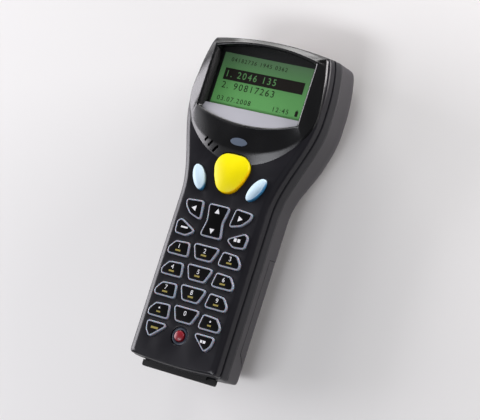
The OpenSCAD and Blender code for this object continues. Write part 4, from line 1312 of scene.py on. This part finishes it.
class TERMINAL_OT_dock_shadow_strip(bpy.types.Operator):
    """Painted shade: a dark strip that fills the gap between the handle's arched end and the dock's bar, a square
    section swept along the arch
    """
    bl_idname = "terminal.dock_gasket"
    bl_label = "Dock gasket"

    def execute(self, context):
        case = settings("case")
        half = high("dock_connector", 0) - SHADOW_STRIP_SHORT
        middle = (low("dock_connector", 2) + high("dock_connector", 2)) / 2
        x = np.linspace(-half, half, SHADOW_STRIP_POINTS)
        y = start_y() - case.bottom_bow * (1.0 - (x / (case.handle_width / 2)) ** 2)
        rows = [at_height(np.column_stack([x, y + dy * MM]), middle + dz * MM) for dy, dz in SHADOW_STRIP_SECTION]
        points, faces = stack(np.stack(rows, axis=1))
        ends = [[0, 1, 2, 3], list(range(len(points) - 4, len(points)))]
        piece = make_piece("dock_gasket", (points, faces + ends), finish("rubber"))
        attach(piece, "case")
        return {"FINISHED"}


class TERMINAL_OT_power_ring(bpy.types.Operator):
    """Ring round the power button: a low half-round section turned about the button's axis"""
    bl_idname = "terminal.power_ring"
    bl_label = "Power ring"

    def execute(self, context):
        base = face_z() - RING_BASE
        rings = [at_height(disc(RING_MIDDLE - RING_HALF * cos(t), 96) * MM + key_place("key_power"),
                           base + RING_RISE * sin(t)) for t in np.linspace(0.0, pi, 9)]
        piece = make_piece("power_ring", hoop(rings), finish("ring"))
        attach(piece, "case")
        return {"FINISHED"}


class TERMINAL_OT_display(bpy.types.Operator):
    """Marks on the display: a dark bar, rows of plain digits and a small battery mark"""
    bl_idname = "terminal.display"
    bl_label = "Display marks"

    def execute(self, context):
        z, ink, origin = GLASS_Z + INK_LIFT, finish("ink"), np.array([0.0, start_y()])
        piece = flat_mark("display_bar", [bar(origin, 0.0, 145.0, 23.2, 3.0)], z, ink, "case")
        height = settings("display").digit_height
        for name, text, x, station, share, material, lift in DISPLAY_ROWS:
            place = (0.0, start_y() + station * MM, z + lift * MM)
            piece = digits(name, text, height * share, place, finish(material), "case", DIGIT_SPACING)
            self.left_align(piece.data, x * MM)
        cell = [bar(origin, 23.4, 132.2, 0.8, 1.3), bar(origin, 23.4, 133.8, 0.4, 0.25)]
        piece = flat_mark("battery_mark", cell, z, ink, "case")
        return {"FINISHED"}

    def left_align(self, mesh, x):
        """Moves a row of digits along so that it starts at x."""
        points = coordinates(mesh)
        points[:, 0] += x - points[:, 0].min()
        mesh.vertices.foreach_set("co", points.ravel())
        mesh.update()


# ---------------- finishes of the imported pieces

NODE_FINISHES = {
    "case_seal": "rubber", "display_window": "window", "display_trim": "trim", "lcd_panel": "display",
    "lcd_frame": "frame", "backlight_plate": "milky", "keypad_mat": "mat", "main_board": "board",
    "board_parts": "chip", "status_led_lens": "lens", "status_led": "milky", "buzzer": "chip",
    "scan_engine": "engine", "scan_bracket": "steel", "scan_window": "pane", "battery_pack": "battery",
    "battery_contacts": "gold", "backup_cell": "steel", "dock_connector": "frame", "dock_pins": "gold",
    "case_screws": "steel", "screw_inserts": "gold",
}


class TERMINAL_OT_finishes(bpy.types.Operator):
    """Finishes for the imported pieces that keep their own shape"""
    bl_idname = "terminal.finishes"
    bl_label = "Finishes"

    def execute(self, context):
        for node, name in NODE_FINISHES.items():
            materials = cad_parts[node].data.materials
            materials.clear()
            materials.append(finish(name))
        return {"FINISHED"}


# ---------------- stage

SENSOR = 36.0
FOCAL_PIXELS = 2080.612
FRAME_PIXELS = 480.0
CLIP = (0.05, 50.0)
FLOOR_HALF = 3.0
FLOOR_DROP = 0.0002
SKY = (0.92, 0.94, 1.0, 1.0)
SKY_STRENGTH = 0.1
TARGET_STATION = 80.0 * MM
# Lamp, place from the target, size, power and tint, in metres and watts
LAMPS = [
    ("left_light", (-1.0, -0.05, 0.32), (0.80, 0.33), 8.4, (0.97, 0.94, 1.0)),
    ("fill_light", (-0.82, -0.16, 0.60), (0.35, 0.25), 0.7, (0.96, 0.95, 1.0)),
    ("top_light", (-0.42, 0.85, 0.22), (0.55, 0.28), 4.9, (1.0, 0.99, 0.98)),
    ("right_light", (0.40, 0.40, 0.08), (0.42, 0.12), 3.2, (1.0, 0.96, 0.98)),
    ("overhead_light", (0.45, 0.12, 0.88), (0.7, 0.7), 0.3, (0.97, 0.97, 1.0)),
    ("front_light", (-0.10, -0.50, 0.82), (0.72, 0.2), 4.4, (0.94, 0.95, 1.0)),
]


class TERMINAL_OT_stage(bpy.types.Operator):
    """Camera at the photograph's angle, a pale floor, six soft lights and a plain sky"""
    bl_idname = "terminal.stage"
    bl_label = "Stage"

    def execute(self, context):
        scene, view = context.scene, settings("view")
        origin = Vector((0.0, start_y(), KEY_TOP_Z))
        # Columns are the camera's right, up and backward axes: a turn about Y, then X, then Z, undone
        turn = (Matrix.Rotation(view.roll, 3, "Z") @ Matrix.Rotation(view.pitch, 3, "X")
                @ Matrix.Rotation(view.yaw, 3, "Y")).transposed()
        camera = bpy.data.cameras.new("camera")
        camera.sensor_width = SENSOR
        camera.lens = SENSOR * FOCAL_PIXELS / FRAME_PIXELS
        camera.clip_start, camera.clip_end = CLIP
        holder = bpy.data.objects.new("camera", camera)
        place = turn @ Vector((view.aim_x, view.aim_y, view.distance)) + origin
        holder.matrix_world = Matrix.LocRotScale(place, turn.to_quaternion(), None)
        scene.collection.objects.link(holder)
        scene.camera = holder
        self.floor()
        self.lights(scene, origin + Vector((0.0, TARGET_STATION, 0.0)))
        scene.view_settings.view_transform = "Standard"
        return {"FINISHED"}

    def floor(self):
        """A pale floor that the part rests on."""
        material, shader = new_material("floor")
        stops = [(NOISE_LOW, (0.80, 0.79, 0.77)), (NOISE_HIGH, (0.84, 0.83, 0.81))]
        fill(shader, Base_Color=ramp(material, noise(material, 3.0, 2.0), stops), Roughness=0.9)
        floor = link("floor", make_mesh("floor", at_height(SQUARE * FLOOR_HALF, 0.0), [[0, 1, 2, 3]]), material)
        floor.location.z = -FLOOR_DROP

    def lights(self, scene, target):
        """Lamps that face the target, and a plain sky."""
        scene.world = bpy.data.worlds.new("sky")
        scene.world.use_nodes = True
        fill(scene.world.node_tree.nodes["Background"], Color=SKY, Strength=SKY_STRENGTH)
        for name, side, size, power, tint in LAMPS:
            lamp = bpy.data.lights.new(name, "AREA")
            lamp.shape = "RECTANGLE"
            lamp.size, lamp.size_y = size
            lamp.energy = power
            lamp.color = tint
            holder = bpy.data.objects.new(name, lamp)
            holder.location = target + Vector(side)
            holder.rotation_euler = (target - holder.location).to_track_quat("-Z", "Y").to_euler()
            scene.collection.objects.link(holder)


# ---------------- add-on

GROUPS = {"case": TerminalCase, "display": TerminalDisplay, "keypad": TerminalKeypad, "view": TerminalView,
          "colours": TerminalColours}
OPERATORS = [TERMINAL_OT_stage, TERMINAL_OT_front_case, TERMINAL_OT_face_mask, TERMINAL_OT_rear_case,
             TERMINAL_OT_battery_cover, TERMINAL_OT_keys, TERMINAL_OT_buttons, TERMINAL_OT_power_ring,
             TERMINAL_OT_dock_shadow_strip, TERMINAL_OT_window_print, TERMINAL_OT_display, TERMINAL_OT_finishes]


class TERMINAL_PT_pieces(bpy.types.Panel):
    """Lists the pieces to build and the sizes and colours they take"""
    bl_label = "Barcode Terminal"
    bl_idname = "TERMINAL_PT_pieces"
    bl_space_type = "VIEW_3D"
    bl_region_type = "UI"
    bl_category = "Terminal"

    def draw(self, context):
        for operator in OPERATORS:
            self.layout.operator(operator.bl_idname)
        for name, group in GROUPS.items():
            frame_box = self.layout.box()
            frame_box.label(text=name.capitalize())
            for field in group.__annotations__:
                frame_box.prop(getattr(context.scene, "terminal_" + name), field)


def register():
    """Adds the groups, the operators and the panel."""
    for group in GROUPS.values():
        bpy.utils.register_class(group)
    for name, group in GROUPS.items():
        setattr(bpy.types.Scene, "terminal_" + name, PointerProperty(type=group))
    for item in OPERATORS + [TERMINAL_PT_pieces]:
        bpy.utils.register_class(item)


def unregister():
    """Takes them away again."""
    for item in reversed(OPERATORS + [TERMINAL_PT_pieces]):
        bpy.utils.unregister_class(item)
    for name, group in GROUPS.items():
        delattr(bpy.types.Scene, "terminal_" + name)
        bpy.utils.unregister_class(group)


def main():
    """Registers the add-on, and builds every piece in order."""
    register()
    for operator in OPERATORS:
        family, name = operator.bl_idname.split(".")
        getattr(getattr(bpy.ops, family), name)()


if __name__ == "__main__":
    main()
